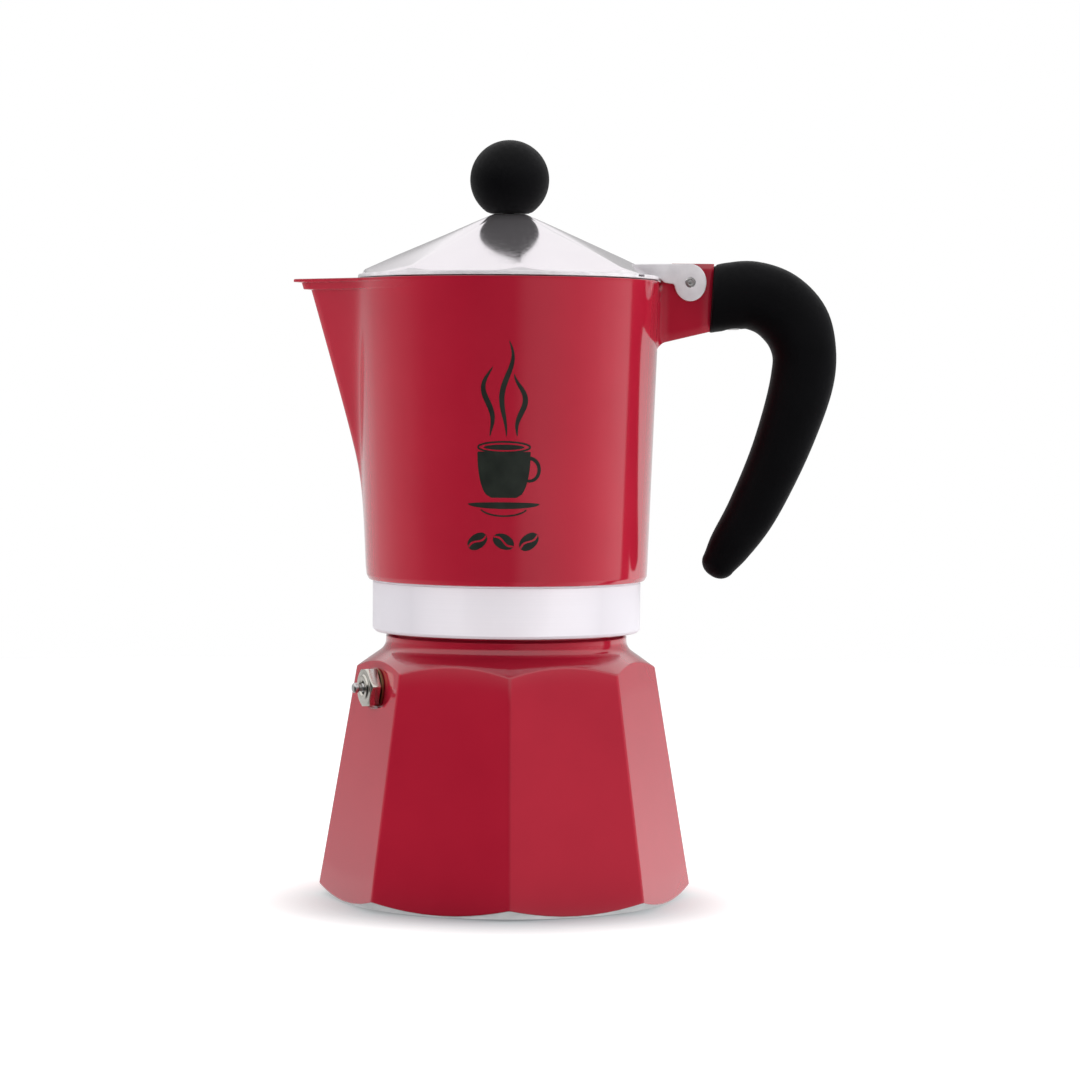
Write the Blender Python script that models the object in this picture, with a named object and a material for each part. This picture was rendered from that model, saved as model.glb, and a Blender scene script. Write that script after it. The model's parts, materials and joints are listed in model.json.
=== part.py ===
"""Moka pot: boiler, safety valve, funnel, gasket, filter plate, collector, lid, knob and handle.

Frame: Z is the pot's axis, z = 0 is the face it stands on, the handle points to +X and the spout
to -X. Sizes below are millimetres; new_object turns them into metres.
"""
import math

import bmesh
import bpy
from mathutils import Euler, Matrix, Vector

MM = 0.001
ROUND = 48              # steps round a large turned piece
SMALL_ROUND = 20        # steps round a small turned piece
GAP = 0.3               # clearance between pieces that touch
THROUGH = 5.0           # how far a cutter runs past the faces it cuts

# Octagonal boiler
SIDES = 8
RIDGE_TOP = (42.75, 64.9)        # radius and height of a ridge at the shoulder
RIDGE_FOOT = (53.2, 2.6)         # radius and height of a ridge at the foot
BOILER_TURN = math.radians(1.4)  # how far a ridge stands from the handle's direction
BOILER_WALL = 3.4
BOILER_FLOOR = 3.6
HOLLOW_FOOT = ((42.8, BOILER_FLOOR), (45.5, 6.4))   # bevel round the hollow's foot
HOLLOW_SHOULDER = ((45.5, 55.0), (34.6, 64.8))      # where the hollow draws in to the neck
BASE_FACE_RADIUS = 48.6
CHAMFER_END = (55.0, 4.3)        # where the turned chamfer under the foot runs out
SHOULDER = (56.1, (38.3, 72.6), 4.0)   # turned shoulder: start height, fillet centre and radius
NECK_FOOT = (34.3, 74.2)
NECK_BORE = 31.5
NECK_BORE_FOOT = 70.0
OCTAGON_END = (38.6, 69.0)       # above this height, and within this radius, the neck stays round
BORE_KEEP = (35.2, 66.0)         # the same for the hollow
BOILER_TOP = 84.5

# Screw thread between boiler and collector
PITCH = 3.5
THREAD_STEPS = 32
MALE_ROOT = 33.3
MALE_CREST = 34.2
FEMALE_ROOT = 35.2
FEMALE_CREST = 34.6
RIDGE_HALF = (1.1, 0.4)          # half height of a ridge at its root and at its crest
RIDGE_SUNK = 0.4                 # how far a ridge's root reaches into its wall
MALE_THREAD = (76.6, 1.75)       # start height and turns
FEMALE_THREAD = (78.35, 1.5)

# Safety valve: its axis is level and square to one facet
VALVE_TURN = math.radians(-156.1)
VALVE_HEIGHT = 60.4
VALVE_FACE = 39.3                # distance of the spot face from the pot's axis
SPOT_HALF = (12.5, 5.9)          # half width and half height of the spot face
HEX_RADIUS = 6.0
HEX_TURN = math.radians(24)
HEX_SPAN = (1.1, 4.4)            # foot and face of the hexagon, outwards from the spot face
HEX_CHAMFER = 0.7
SHANK_RADIUS = 4.0
VALVE_BORE = 2.9
VALVE_INNER_END = -6.6
VALVE_MOUTH = (1.8, 3.2)         # radius of the stem's way out and where it starts
WASHER = (SHANK_RADIUS + 0.2, 5.3, 0.2, 0.9)
STEM_RADIUS = 1.3
STEM_HEAD = (2.5, -5.0, -4.2)
SEAL = (2.4, -5.9, -5.3)
SEAT = (1.2, 3.7, -7.5, -6.9)
SEAT_NOSE = (2.6, -6.2)
SPRING = (2.1, 0.3, -3.6, 2.6)   # coil radius, wire radius, start and end along the valve's axis
SPRING_TURNS = 5

# Funnel, gasket and filter plate
FUNNEL_RIM = (BOILER_TOP + GAP, BOILER_TOP + GAP + 0.5)
BASKET_RADIUS = 30.9
SHEET = 0.8
TUBE_RADIUS = 5.0
TUBE_END = 4.6
GASKET = (28.5, 35.9, 85.6, 88.6)    # inner and outer radius, foot and top
PLATE = (35.6, 88.9, 89.5)           # radius, foot and top
PLATE_REACH = 23.0                   # radius of the outer ring of holes
SCREEN = (29.6, 61.4, 62.0)
SCREEN_REACH = 25.0
HOLE_RINGS = 3
HOLE_RADIUS = 0.8

# Collector
BAND = (38.15, 75.5, 90.0)
BODY_FOOT = (39.95, 91.5)
BODY_TOP = (43.0, 175.2)
CAVITY_FOOT = (37.9, 96.0)
CAVITY_TOP = (41.0, 175.2)
SEAT_HEIGHT = 89.8
RECESS_RADIUS = 36.2
COLUMN_TOP = 152.5
COLUMN_BORE = 3.4
OUTLET = (3.0, 142.5, 146.5)     # width of the coffee column's side hole, its foot and top
SPOUT_LOW = (-40.8, 119.0)       # x and height of the nose where the spout starts
SPOUT_STEP = (-56.1, 172.2)      # the same under its rim
SPOUT_HOLLOW_LOW = (-37.0, 119.0)
SPOUT_HALF_ANGLE = math.radians(38)
SPOUT_WALL = 2.9                 # wall at the spout's nose, measured along X
BRACKET_HALF = 4.5
BRACKET_TOP = 180.3
TENON = (56.0, 69.0, 2.4, 165.5, 176.5)   # x from, x to, half width, z from, z to

TENON_SCREW = (1.55, 160.0, 174.4)        # radius, from and to of the screw's hole

# Lid and its hinge
LID_FOOT = 175.5
LID_RIM = 42.9
LID_RIDGE_AT_RIM = 177.3
LID_TURN = math.radians(4.5)     # how far a ridge stands from the handle's direction
LID_FLAT = (6.0, 194.0)
LID_HOLE = 1.9
LID_LIP = 0.3                    # least height of the inner wall over the lid's foot
LID_WALL = 1.5                   # across the rim
LID_DROP = 1.68                  # from the outside down to the underside
HINGE = (51.3, 0.0, 174.9)
PIN_RADIUS = 1.25
PIN_HOLE = 1.45
EAR_FACES = (4.8, 6.6)
EAR_HALF = (4.5, 5.25)
SLOT_START = 43.0                # x where the gap between the ears starts

# Knob, handle and their screws
KNOB = (203.8, 11.26, 194.3)     # centre height, radius, height of the flat under it
KNOB_HOLE = 1.8
KNOB_SCREW = (1.5, 200.0)        # radius and top of its shank
KNOB_SCREW_HEAD = (3.2, 1.4)     # radius and height
HANDLE_SCREW_X = 63.5
HANDLE_HEAD_SEAT = 163.2
HANDLE_SCREW_HEAD = (2.6, 161.7)  # radius and underside
HANDLE_SCREW = (1.3, 173.6)      # radius and top of its shank
SOCKET_GAP = GAP + 0.1
HANDLE_SQUARENESS = 2.5          # over 2 squares the section's corners
HANDLE_START = Vector((1.1, 19.0))        # slant of the handle's face against the bracket
HANDLE_TIP = ((2.6, 0.82), (4.3, 0.45))   # distance past the last section, and its share
# x, z, half width across and half depth of the handle along its middle line
HANDLE_PATH = [
    (58.0, 170.4, 9.5, 8.0),
    (63.0, 171.3, 9.6, 8.0),
    (69.3, 171.6, 9.7, 8.2),
    (76.3, 169.0, 9.9, 8.2),
    (81.8, 163.3, 9.8, 8.2),
    (84.3, 155.6, 9.3, 8.2),
    (83.7, 147.5, 9.0, 8.0),
    (80.9, 137.0, 8.5, 7.8),
    (76.2, 124.0, 7.8, 7.3),
    (69.7, 110.0, 7.1, 6.7),
    (63.7, 100.4, 6.1, 5.8),
    (60.5, 95.4, 4.9, 4.7),
]


# ---------------------------------------------------------------- helpers

def clear_scene():
    for obj in list(bpy.data.objects):
        bpy.data.objects.remove(obj, do_unlink=True)


def material(name, color, roughness, metallic):
    mat = bpy.data.materials.new(name)
    mat.use_nodes = True
    shader = mat.node_tree.nodes["Principled BSDF"]
    shader.inputs["Base Color"].default_value = (*color, 1.0)
    shader.inputs["Roughness"].default_value = roughness
    shader.inputs["Metallic"].default_value = metallic
    return mat


def new_object(name, points, faces, mat=None, parent=None):
    """Makes a closed mesh object. The points are millimetres in the parent's frame."""
    mesh = bpy.data.meshes.new(name)
    bm = bmesh.new()
    verts = [bm.verts.new(Vector(p) * MM) for p in points]
    for face in faces:
        bm.faces.new([verts[i] for i in face])
    bmesh.ops.recalc_face_normals(bm, faces=bm.faces)
    bm.to_mesh(mesh)
    bm.free()
    mesh.shade_smooth()
    mesh.set_sharp_from_angle(angle=math.radians(30))
    obj = bpy.data.objects.new(name, mesh)
    bpy.context.collection.objects.link(obj)
    obj.parent = parent
    if mat is None:
        obj.hide_render = True
        obj.display_type = "WIRE"
    else:
        mesh.materials.append(mat)
    return obj


def axis_empty(name, location, turn=0.0):
    empty = bpy.data.objects.new(name, None)
    empty.location = Vector(location) * MM
    empty.rotation_euler = Euler((0.0, 0.0, turn))
    bpy.context.collection.objects.link(empty)
    return empty


def combine(target, tool, operation):
    mod = target.modifiers.new(f"{operation.lower()} {tool.name}", "BOOLEAN")
    mod.operation = operation
    mod.solver = "EXACT"
    mod.object = tool


def turned(name, outline, mat=None, parent=None, steps=ROUND, along="Z"):
    """Turns a closed outline of (radius, height) points about an axis of the parent's frame."""
    points = []
    rings = []
    for radius, height in outline:
        count = 1 if radius == 0 else steps
        rings.append(list(range(len(points), len(points) + count)))
        for i in range(count):
            a = 2 * math.pi * i / steps
            across = (radius * math.cos(a), radius * math.sin(a))
            if along == "Z":
                points.append((across[0], across[1], height))
            elif along == "X":
                points.append((height, across[0], across[1]))
            else:
                points.append((across[1], height, across[0]))
    faces = []
    for one, two in zip(rings, rings[1:] + rings[:1]):
        if len(one) == 1 and len(two) == 1:
            continue
        for i in range(steps):
            j = (i + 1) % steps
            if len(one) == 1:
                faces.append((one[0], two[j], two[i]))
            elif len(two) == 1:
                faces.append((one[i], one[j], two[0]))
            else:
                faces.append((one[i], one[j], two[j], two[i]))
    return new_object(name, points, faces, mat, parent)


def loft(name, sections, mat=None, parent=None):
    """Joins closed sections that have the same number of points, with flat ends."""
    count = len(sections[0])
    points = [p for section in sections for p in section]
    faces = [tuple(range(count)), tuple(range(len(points) - count, len(points)))]
    for k in range(len(sections) - 1):
        for i in range(count):
            j = (i + 1) % count
            a = k * count
            b = a + count
            faces.append((a + i, a + j, b + j, b + i))
    return new_object(name, points, faces, mat, parent)


def prism_y(name, outline, half):
    """Extrudes an outline of (x, z) points to the same distance on both sides of y = 0."""
    sections = [[(x, y, z) for x, z in outline] for y in (-half, half)]
    return loft(name, sections)


def block(name, x, half_y, z):
    outline = [(x[0], z[0]), (x[1], z[0]), (x[1], z[1]), (x[0], z[1])]
    return prism_y(name, outline, half_y)


def drill(name, radius, low, high, along="Z", parent=None, steps=SMALL_ROUND):
    """A round cutter along an axis."""
    outline = [(0, low), (radius, low), (radius, high), (0, high)]
    return turned(name, outline, parent=parent, steps=steps, along=along)


def pyramid(name, low, high, turn, grow=0.0, above=THROUGH):
    """An eight-sided frustum through two (ridge radius, height) points, run on at both ends."""
    slope = (high[0] - low[0]) / (high[1] - low[1])
    sections = []
    for height in (low[1] - THROUGH, high[1] + above):
        radius = low[0] + slope * (height - low[1]) + grow
        corners = []
        for i in range(SIDES):
            a = turn + 2 * math.pi * i / SIDES
            corners.append((radius * math.cos(a), radius * math.sin(a), height))
        sections.append(corners)
    return loft(name, sections)


def helix_ridge(name, root, crest, low, turns):
    """A right-hand thread ridge that stands out from the root radius to the crest radius."""
    sunk = root - math.copysign(RIDGE_SUNK, crest - root)
    foot_half, crest_half = RIDGE_HALF
    profile = [(sunk, -foot_half), (crest, -crest_half), (crest, crest_half), (sunk, foot_half)]
    sections = []
    for i in range(round(turns * THREAD_STEPS) + 1):
        a = 2 * math.pi * i / THREAD_STEPS
        z = low + PITCH * i / THREAD_STEPS
        sections.append([(r * math.cos(a), r * math.sin(a), z + dz) for r, dz in profile])
    return loft(name, sections)


def fillet(centre, radius, start, end, steps=4):
    """Points along an arc, angles in degrees."""
    points = []
    for i in range(steps + 1):
        a = math.radians(start + (end - start) * i / steps)
        points.append((centre[0] + radius * math.cos(a), centre[1] + radius * math.sin(a)))
    return points


def hole_pattern(name, reach, low, high):
    """One cutter of six-sided pins, in rings of 6, 12 and 18 round a middle one."""
    spots = [(0.0, 0.0)]
    for ring in range(1, HOLE_RINGS + 1):
        radius = reach * ring / HOLE_RINGS
        for i in range(6 * ring):
            a = 2 * math.pi * i / (6 * ring)
            spots.append((radius * math.cos(a), radius * math.sin(a)))
    points = []
    faces = []
    for x, y in spots:
        first = len(points)
        for z in (low, high):
            for i in range(6):
                a = math.pi * i / 3
                points.append((x + HOLE_RADIUS * math.cos(a), y + HOLE_RADIUS * math.sin(a), z))
        faces.append(tuple(range(first, first + 6)))
        faces.append(tuple(range(first + 6, first + 12)))
        for i in range(6):
            j = (i + 1) % 6
            faces.append((first + i, first + j, first + 6 + j, first + 6 + i))
    return new_object(name, points, faces)


def smooth_path(points, steps):
    """Catmull-Rom curve through the points, with steps spans between neighbours."""
    vectors = [Vector(p) for p in points]
    ends = [2 * vectors[0] - vectors[1]] + vectors + [2 * vectors[-1] - vectors[-2]]
    curve = []
    for i in range(1, len(ends) - 2):
        a, b, c, d = ends[i - 1:i + 3]
        for k in range(steps):
            t = k / steps
            blend = 2 * b + (c - a) * t
            blend += (2 * a - 5 * b + 4 * c - d) * t ** 2
            blend += (3 * b - a - 3 * c + d) * t ** 3
            curve.append(blend / 2)
    curve.append(vectors[-1])
    return curve


# ---------------------------------------------------------------- boiler

def make_boiler(mat):
    shoulder_foot, fillet_centre, fillet_radius = SHOULDER
    outline = [(0, 0), (BASE_FACE_RADIUS, 0), CHAMFER_END, (CHAMFER_END[0], shoulder_foot)]
    outline += reversed(fillet(fillet_centre, fillet_radius, 180, 234))
    outline += [NECK_FOOT, (MALE_ROOT, NECK_FOOT[1] + 0.6), (MALE_ROOT, BOILER_TOP - 0.6)]
    outline += [(MALE_ROOT - 0.6, BOILER_TOP), (0, BOILER_TOP)]
    boiler = turned("boiler", outline, mat)

    # The octagon trims the turned body below the shoulder and leaves the neck whole.
    above = BOILER_TOP + THROUGH
    octagon = pyramid("octagon", RIDGE_FOOT, RIDGE_TOP, BOILER_TURN)
    neck_keep = drill("neck_keep", *OCTAGON_END, above, steps=ROUND)
    combine(octagon, neck_keep, "UNION")
    combine(boiler, octagon, "INTERSECT")

    thread = helix_ridge("boiler_thread", MALE_ROOT, MALE_CREST, *MALE_THREAD)
    combine(boiler, thread, "UNION")

    # The hollow follows the outside, with the neck's bore at its top.
    hollow_outline = [(0, BOILER_FLOOR), *HOLLOW_FOOT, *HOLLOW_SHOULDER]
    hollow_outline += [(NECK_BORE, NECK_BORE_FOOT), (NECK_BORE, above), (0, above)]
    hollow = turned("boiler_hollow", hollow_outline)
    inner_octagon = pyramid("inner_octagon", RIDGE_FOOT, RIDGE_TOP, BOILER_TURN,
                            grow=-BOILER_WALL / math.cos(math.pi / SIDES))
    neck_bore_keep = drill("neck_bore_keep", *BORE_KEEP, above + THROUGH, steps=ROUND)
    combine(inner_octagon, neck_bore_keep, "UNION")
    combine(hollow, inner_octagon, "INTERSECT")
    combine(boiler, hollow, "DIFFERENCE")
    return boiler


def valve_place():
    x = VALVE_FACE * math.cos(VALVE_TURN)
    y = VALVE_FACE * math.sin(VALVE_TURN)
    return axis_empty("valve_axis", (x, y, VALVE_HEIGHT), VALVE_TURN)


def cut_valve_seat(boiler, place):
    """The oval spot face and the hole for the valve, along the valve's axis (local X)."""
    steps = 32
    sections = []
    for x in (0.0, 2 * THROUGH):
        ring = []
        for i in range(steps):
            a = 2 * math.pi * i / steps
            ring.append((x, SPOT_HALF[0] * math.cos(a), SPOT_HALF[1] * math.sin(a)))
        sections.append(ring)
    combine(boiler, loft("spot_face", sections, parent=place), "DIFFERENCE")
    hole = drill("valve_hole", SHANK_RADIUS + GAP, -2 * THROUGH, THROUGH, "X", place)
    combine(boiler, hole, "DIFFERENCE")


# ---------------------------------------------------------------- safety valve

def make_valve(place, plated, brass, steel, rubber):
    """The valve's pieces along its axis (local X), from the spot face outwards."""
    inner, outer, foot, top = WASHER
    washer_outline = [(inner, foot), (outer, foot), (outer, top), (inner, top)]
    turned("valve_washer", washer_outline, brass, place, SMALL_ROUND, "X")
    make_valve_body(place, plated)

    head, head_end, head_top = STEM_HEAD
    stem_outline = [(0, head_end), (head, head_end), (head, head_top)]
    stem_outline += [(STEM_RADIUS, head_top + 0.2), (STEM_RADIUS, 4.6), (1.0, 4.9), (1.0, 6.0)]
    stem_outline += [(1.45, 6.2), (1.45, 7.2), (1.1, 7.6), (0, 7.6)]
    turned("valve_stem", stem_outline, steel, place, SMALL_ROUND, "X")

    radius, low, high = SEAL
    seal_outline = [(0, low), (radius, low), (radius, high), (0, high)]
    turned("valve_seal", seal_outline, rubber, place, SMALL_ROUND, "X")

    inner, outer, low, high = SEAT
    nose, nose_top = SEAT_NOSE
    seat_outline = [(inner, low), (outer, low), (outer, high), (nose, high)]
    seat_outline += [(nose, nose_top), (inner, nose_top)]
    turned("valve_seat", seat_outline, plated, place, SMALL_ROUND, "X")
    make_valve_spring(place, steel)


def make_valve_body(place, mat):
    """The turned body is wide enough for the hexagon, which then trims it."""
    foot, face = HEX_SPAN
    wide = HEX_RADIUS + 0.2
    outline = [(VALVE_BORE, VALVE_INNER_END), (SHANK_RADIUS, VALVE_INNER_END)]
    outline += [(SHANK_RADIUS, foot), (HEX_RADIUS - 0.5, foot), (wide, foot + HEX_CHAMFER * 0.6)]
    outline += [(wide, face - HEX_CHAMFER), (HEX_RADIUS - 1.0, face), (3.6, face)]
    outline += [(3.4, face + 0.5), (2.2, face + 0.5), (VALVE_MOUTH[0], face + 0.1), VALVE_MOUTH]
    outline += [(VALVE_BORE, VALVE_MOUTH[1] - 0.2)]
    body = turned("valve_body", outline, mat, place, SMALL_ROUND + 4, "X")
    sections = []
    for x in (VALVE_INNER_END - THROUGH, face + THROUGH):
        corners = []
        for i in range(6):
            a = HEX_TURN + math.pi * i / 3
            corners.append((x, HEX_RADIUS * math.sin(a), HEX_RADIUS * math.cos(a)))
        sections.append(corners)
    combine(body, loft("hexagon", sections, parent=place), "INTERSECT")


def make_valve_spring(place, mat):
    coil, wire, start, end = SPRING
    steps = 10
    sides = 5
    count = SPRING_TURNS * steps
    sections = []
    for i in range(count + 1):
        a = 2 * math.pi * i / steps
        x = start + (end - start) * i / count
        ring = []
        for k in range(sides):
            b = 2 * math.pi * k / sides
            r = coil + wire * math.cos(b)
            ring.append((x + wire * math.sin(b), r * math.cos(a), r * math.sin(a)))
        sections.append(ring)
    loft("valve_spring", sections, mat, place)


# ---------------------------------------------------------------- funnel and seal

def make_funnel(mat):
    low, high = FUNNEL_RIM
    outline = [(33.4, low), (33.4, high), (BASKET_RADIUS - SHEET, high)]
    outline += [(BASKET_RADIUS - SHEET, 61.0), (28.0, 60.2), (TUBE_RADIUS - SHEET, 54.0)]
    outline += [(TUBE_RADIUS - SHEET, TUBE_END), (TUBE_RADIUS, TUBE_END), (TUBE_RADIUS, 53.4)]
    outline += [(28.4, 59.4), (BASKET_RADIUS, 60.4), (BASKET_RADIUS, low)]
    turned("funnel", outline, mat)


def make_disc(name, sizes, reach, mat):
    radius, low, high = sizes
    outline = [(0, low), (radius, low), (radius, high), (0, high)]
    disc = turned(name, outline, mat)
    combine(disc, hole_pattern(name + "_holes", reach, low - 1, high + 1), "DIFFERENCE")


def make_gasket(mat):
    inner, outer, low, high = GASKET
    outline = [(inner, low), (outer, low), (outer, high), (inner, high)]
    turned("gasket", outline, mat)


# ---------------------------------------------------------------- collector

def wedge(name, stations, base_x, blunt):
    """The spout's V: at each (nose x, height) a blunt triangle that opens towards the pot."""
    sections = []
    for nose, height in stations:
        half = blunt + (base_x - nose) * math.tan(SPOUT_HALF_ANGLE)
        corners = [(nose, blunt), (nose, -blunt), (base_x, -half), (base_x, half)]
        sections.append([(x, y, height) for x, y in corners])
    return loft(name, sections)


def make_collector(mat):
    band_radius, band_foot, band_top = BAND
    outline = [(0, BODY_TOP[1]), BODY_TOP, BODY_FOOT, (39.5, 90.5), (38.5, band_top)]
    outline += [(band_radius, band_top - 0.4), (band_radius, band_foot + 1.0)]
    outline += [(band_radius - 1.0, band_foot), (FEMALE_ROOT + 0.6, band_foot)]
    outline += [(FEMALE_ROOT, band_foot + 0.6), (FEMALE_ROOT, 84.9), (RECESS_RADIUS, 85.2)]
    outline += [(RECESS_RADIUS, SEAT_HEIGHT), (27.5, SEAT_HEIGHT), (6.0, 93.2)]
    outline += [(COLUMN_BORE, 95.0), (COLUMN_BORE, COLUMN_TOP - 5), (0, COLUMN_TOP - 3.4)]
    collector = turned("collector", outline, mat)

    outer_stations = [SPOUT_LOW, SPOUT_STEP, (-58.3, 172.25), (-58.9, 174.25)]
    outer_stations += [(-61.2, 174.3), (-61.2, BODY_TOP[1])]
    combine(collector, wedge("spout", outer_stations, -28.0, 0.6), "UNION")

    bracket_outline = [(41.3, 157.3), (42.6, 157.6), (57.0, 161.0), (58.1, BRACKET_TOP)]
    bracket_outline += [(45.6, BRACKET_TOP), (44.2, 178.0), (43.5, 175.2), (41.3, 173.0)]
    bracket = prism_y("bracket", bracket_outline, BRACKET_HALF)
    combine(collector, bracket, "UNION")
    tenon = block("tenon", TENON[0:2], TENON[2], TENON[3:5])
    combine(collector, tenon, "UNION")

    # One cutter clears the inside and leaves the coffee column standing.
    cavity_outline = [(0, 180), (41.0, 180), CAVITY_TOP, CAVITY_FOOT, (36.0, 93.6)]
    cavity_outline += [(14.0, 96.6), (10.4, 99.5), (6.0, COLUMN_TOP - 4), (4.4, COLUMN_TOP - 0.8)]
    cavity_outline += [(0, COLUMN_TOP)]
    cavity = turned("cavity", cavity_outline)
    inner_step = (SPOUT_STEP[0] + SPOUT_WALL, SPOUT_STEP[1])
    inner_stations = [SPOUT_HOLLOW_LOW, inner_step, (-56.2, 174.4), (-57.4, 176.0)]
    combine(cavity, wedge("spout_hollow", inner_stations, -26.0, 0.4), "UNION")
    combine(collector, cavity, "DIFFERENCE")

    half_width = OUTLET[0] / 2
    outlet = block("column_outlet", (-half_width, half_width), 2 * THROUGH, OUTLET[1:3])
    combine(collector, outlet, "DIFFERENCE")
    cut_pin_hole(collector)
    screw_hole = drill("tenon_screw_hole", *TENON_SCREW)
    screw_hole.location.x = HANDLE_SCREW_X * MM
    combine(collector, screw_hole, "DIFFERENCE")

    thread = helix_ridge("collector_thread", FEMALE_ROOT, FEMALE_CREST, *FEMALE_THREAD)
    combine(collector, thread, "UNION")


def cut_pin_hole(target):
    reach = EAR_FACES[1] + THROUGH
    hole = drill("pin_hole_" + target.name, PIN_HOLE, -reach, reach, "Y")
    hole.location = Vector(HINGE) * MM
    combine(target, hole, "DIFFERENCE")


# ---------------------------------------------------------------- lid and hinge

def lid_height(radius, angle, flat_height):
    """Height of the eight-sided pyramid over a point; the angle is counted from a ridge."""
    ridge_radius = radius / octagon_radius(1.0, angle)
    slope = (LID_FLAT[1] - LID_RIDGE_AT_RIM) / (LID_RIM - LID_FLAT[0])
    return flat_height - slope * (ridge_radius - LID_FLAT[0])


def octagon_radius(ridge_radius, angle):
    """Distance from the axis to an octagon's side, for an angle counted from a ridge."""
    half = math.pi / SIDES
    from_middle = (angle % (2 * half)) - half
    return ridge_radius * math.cos(half) / math.cos(from_middle)


def lid_rings():
    """Rings round the lid's section: hole, flat, facets, rim, underside and back to the hole."""
    flat_radius, flat_height = LID_FLAT
    under_flat = flat_height - LID_DROP
    rings = [[] for _ in range(8)]
    for i in range(ROUND):
        a = 2 * math.pi * i / ROUND
        slope = lid_height(0, a, 0) - lid_height(1, a, 0)
        lip_radius = (lid_height(0, a, under_flat) - LID_FOOT - LID_LIP) / slope
        inner = min(LID_RIM - LID_WALL, lip_radius)
        section = [
            (LID_HOLE, flat_height),
            (octagon_radius(flat_radius, a), flat_height),
            (LID_RIM, lid_height(LID_RIM, a, flat_height)),
            (LID_RIM, LID_FOOT),
            (inner, LID_FOOT),
            (inner, lid_height(inner, a, under_flat)),
            (octagon_radius(flat_radius, a), under_flat),
            (LID_HOLE, under_flat),
        ]
        for ring, (radius, height) in zip(rings, section):
            turned_to = LID_TURN + a
            ring.append((radius * math.cos(turned_to), radius * math.sin(turned_to), height))
    return rings


def make_lid(mat, place):
    """The lid with its two ears, modelled about the hinge's axis."""
    rings = lid_rings()
    points = [p for ring in rings for p in ring]
    faces = []
    for k in range(len(rings)):
        for i in range(ROUND):
            j = (i + 1) % ROUND
            one = k * ROUND
            two = (k + 1) % len(rings) * ROUND
            faces.append((one + i, one + j, two + j, two + i))
    lid = new_object("lid", points, faces, mat)

    hinge_outline = [(34.5, 178.2), (40.5, 176.6), (43.1, 175.7), (43.9, 174.7)]
    for x, z in fillet((0, 0), 1.0, 181, 450, 24):
        hinge_outline.append((HINGE[0] + EAR_HALF[0] * x, HINGE[2] + EAR_HALF[1] * z))
    hinge_outline += [(34.5, 179.9)]
    hinge_block = prism_y("hinge_block", hinge_outline, EAR_FACES[1])
    combine(lid, hinge_block, "UNION")
    slot_x = (SLOT_START, HINGE[0] + 2 * THROUGH)
    slot_z = (HINGE[2] - 2 * THROUGH, HINGE[2] + 2 * THROUGH)
    combine(lid, block("hinge_slot", slot_x, EAR_FACES[0], slot_z), "DIFFERENCE")
    cut_pin_hole(lid)
    move_origin(lid, place)


def move_origin(obj, place):
    """Puts an object's origin on its joint's axis without moving its shape."""
    obj.data.transform(Matrix.Translation(-place.location))
    obj.parent = place


def make_knob(mat, steel, place):
    centre, radius, foot = KNOB
    shank, shank_top = KNOB_SCREW
    start = math.degrees(math.asin((foot - centre) / radius))
    ball = fillet((0, centre), radius, start, 90, 12)[:-1]
    outline = [(KNOB_HOLE, foot)] + ball + [(0, centre + radius)]
    outline += [(0, shank_top + 1.5), (KNOB_HOLE, shank_top + 0.8)]
    knob = turned("knob", outline, mat, steps=32)
    move_origin(knob, place)

    head, head_height = KNOB_SCREW_HEAD
    head_top = LID_FLAT[1] - LID_DROP - GAP
    head_foot = head_top - head_height
    screw_outline = [(0, head_foot), (head - 0.8, head_foot), (head, head_foot + 0.7)]
    screw_outline += [(head, head_top), (shank, head_top), (shank, shank_top), (0, shank_top)]
    screw = turned("knob_screw", screw_outline, steel, steps=SMALL_ROUND)
    move_origin(screw, place)


def make_hinge_pin(steel, place):
    half = EAR_FACES[1] + 0.3
    outline = [(0, -half), (PIN_RADIUS - 0.2, -half), (PIN_RADIUS, 0.2 - half)]
    outline += [(PIN_RADIUS, half - 0.2), (PIN_RADIUS - 0.2, half), (0, half)]
    turned("hinge_pin", outline, steel, place, SMALL_ROUND, "Y")


# ---------------------------------------------------------------- handle

def handle_ring(x, z, across, half_width, half_depth):
    """A squared oval round the middle line, in the plane of across and Y."""
    around = 16
    power = 2 / HANDLE_SQUARENESS
    ring = []
    for k in range(around):
        a = 2 * math.pi * (k + 0.5) / around
        u = math.copysign(abs(math.cos(a)) ** power, math.cos(a)) * half_width
        v = math.copysign(abs(math.sin(a)) ** power, math.sin(a)) * half_depth
        ring.append((x + across[0] * u, v, z + across[1] * u))
    return ring


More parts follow.
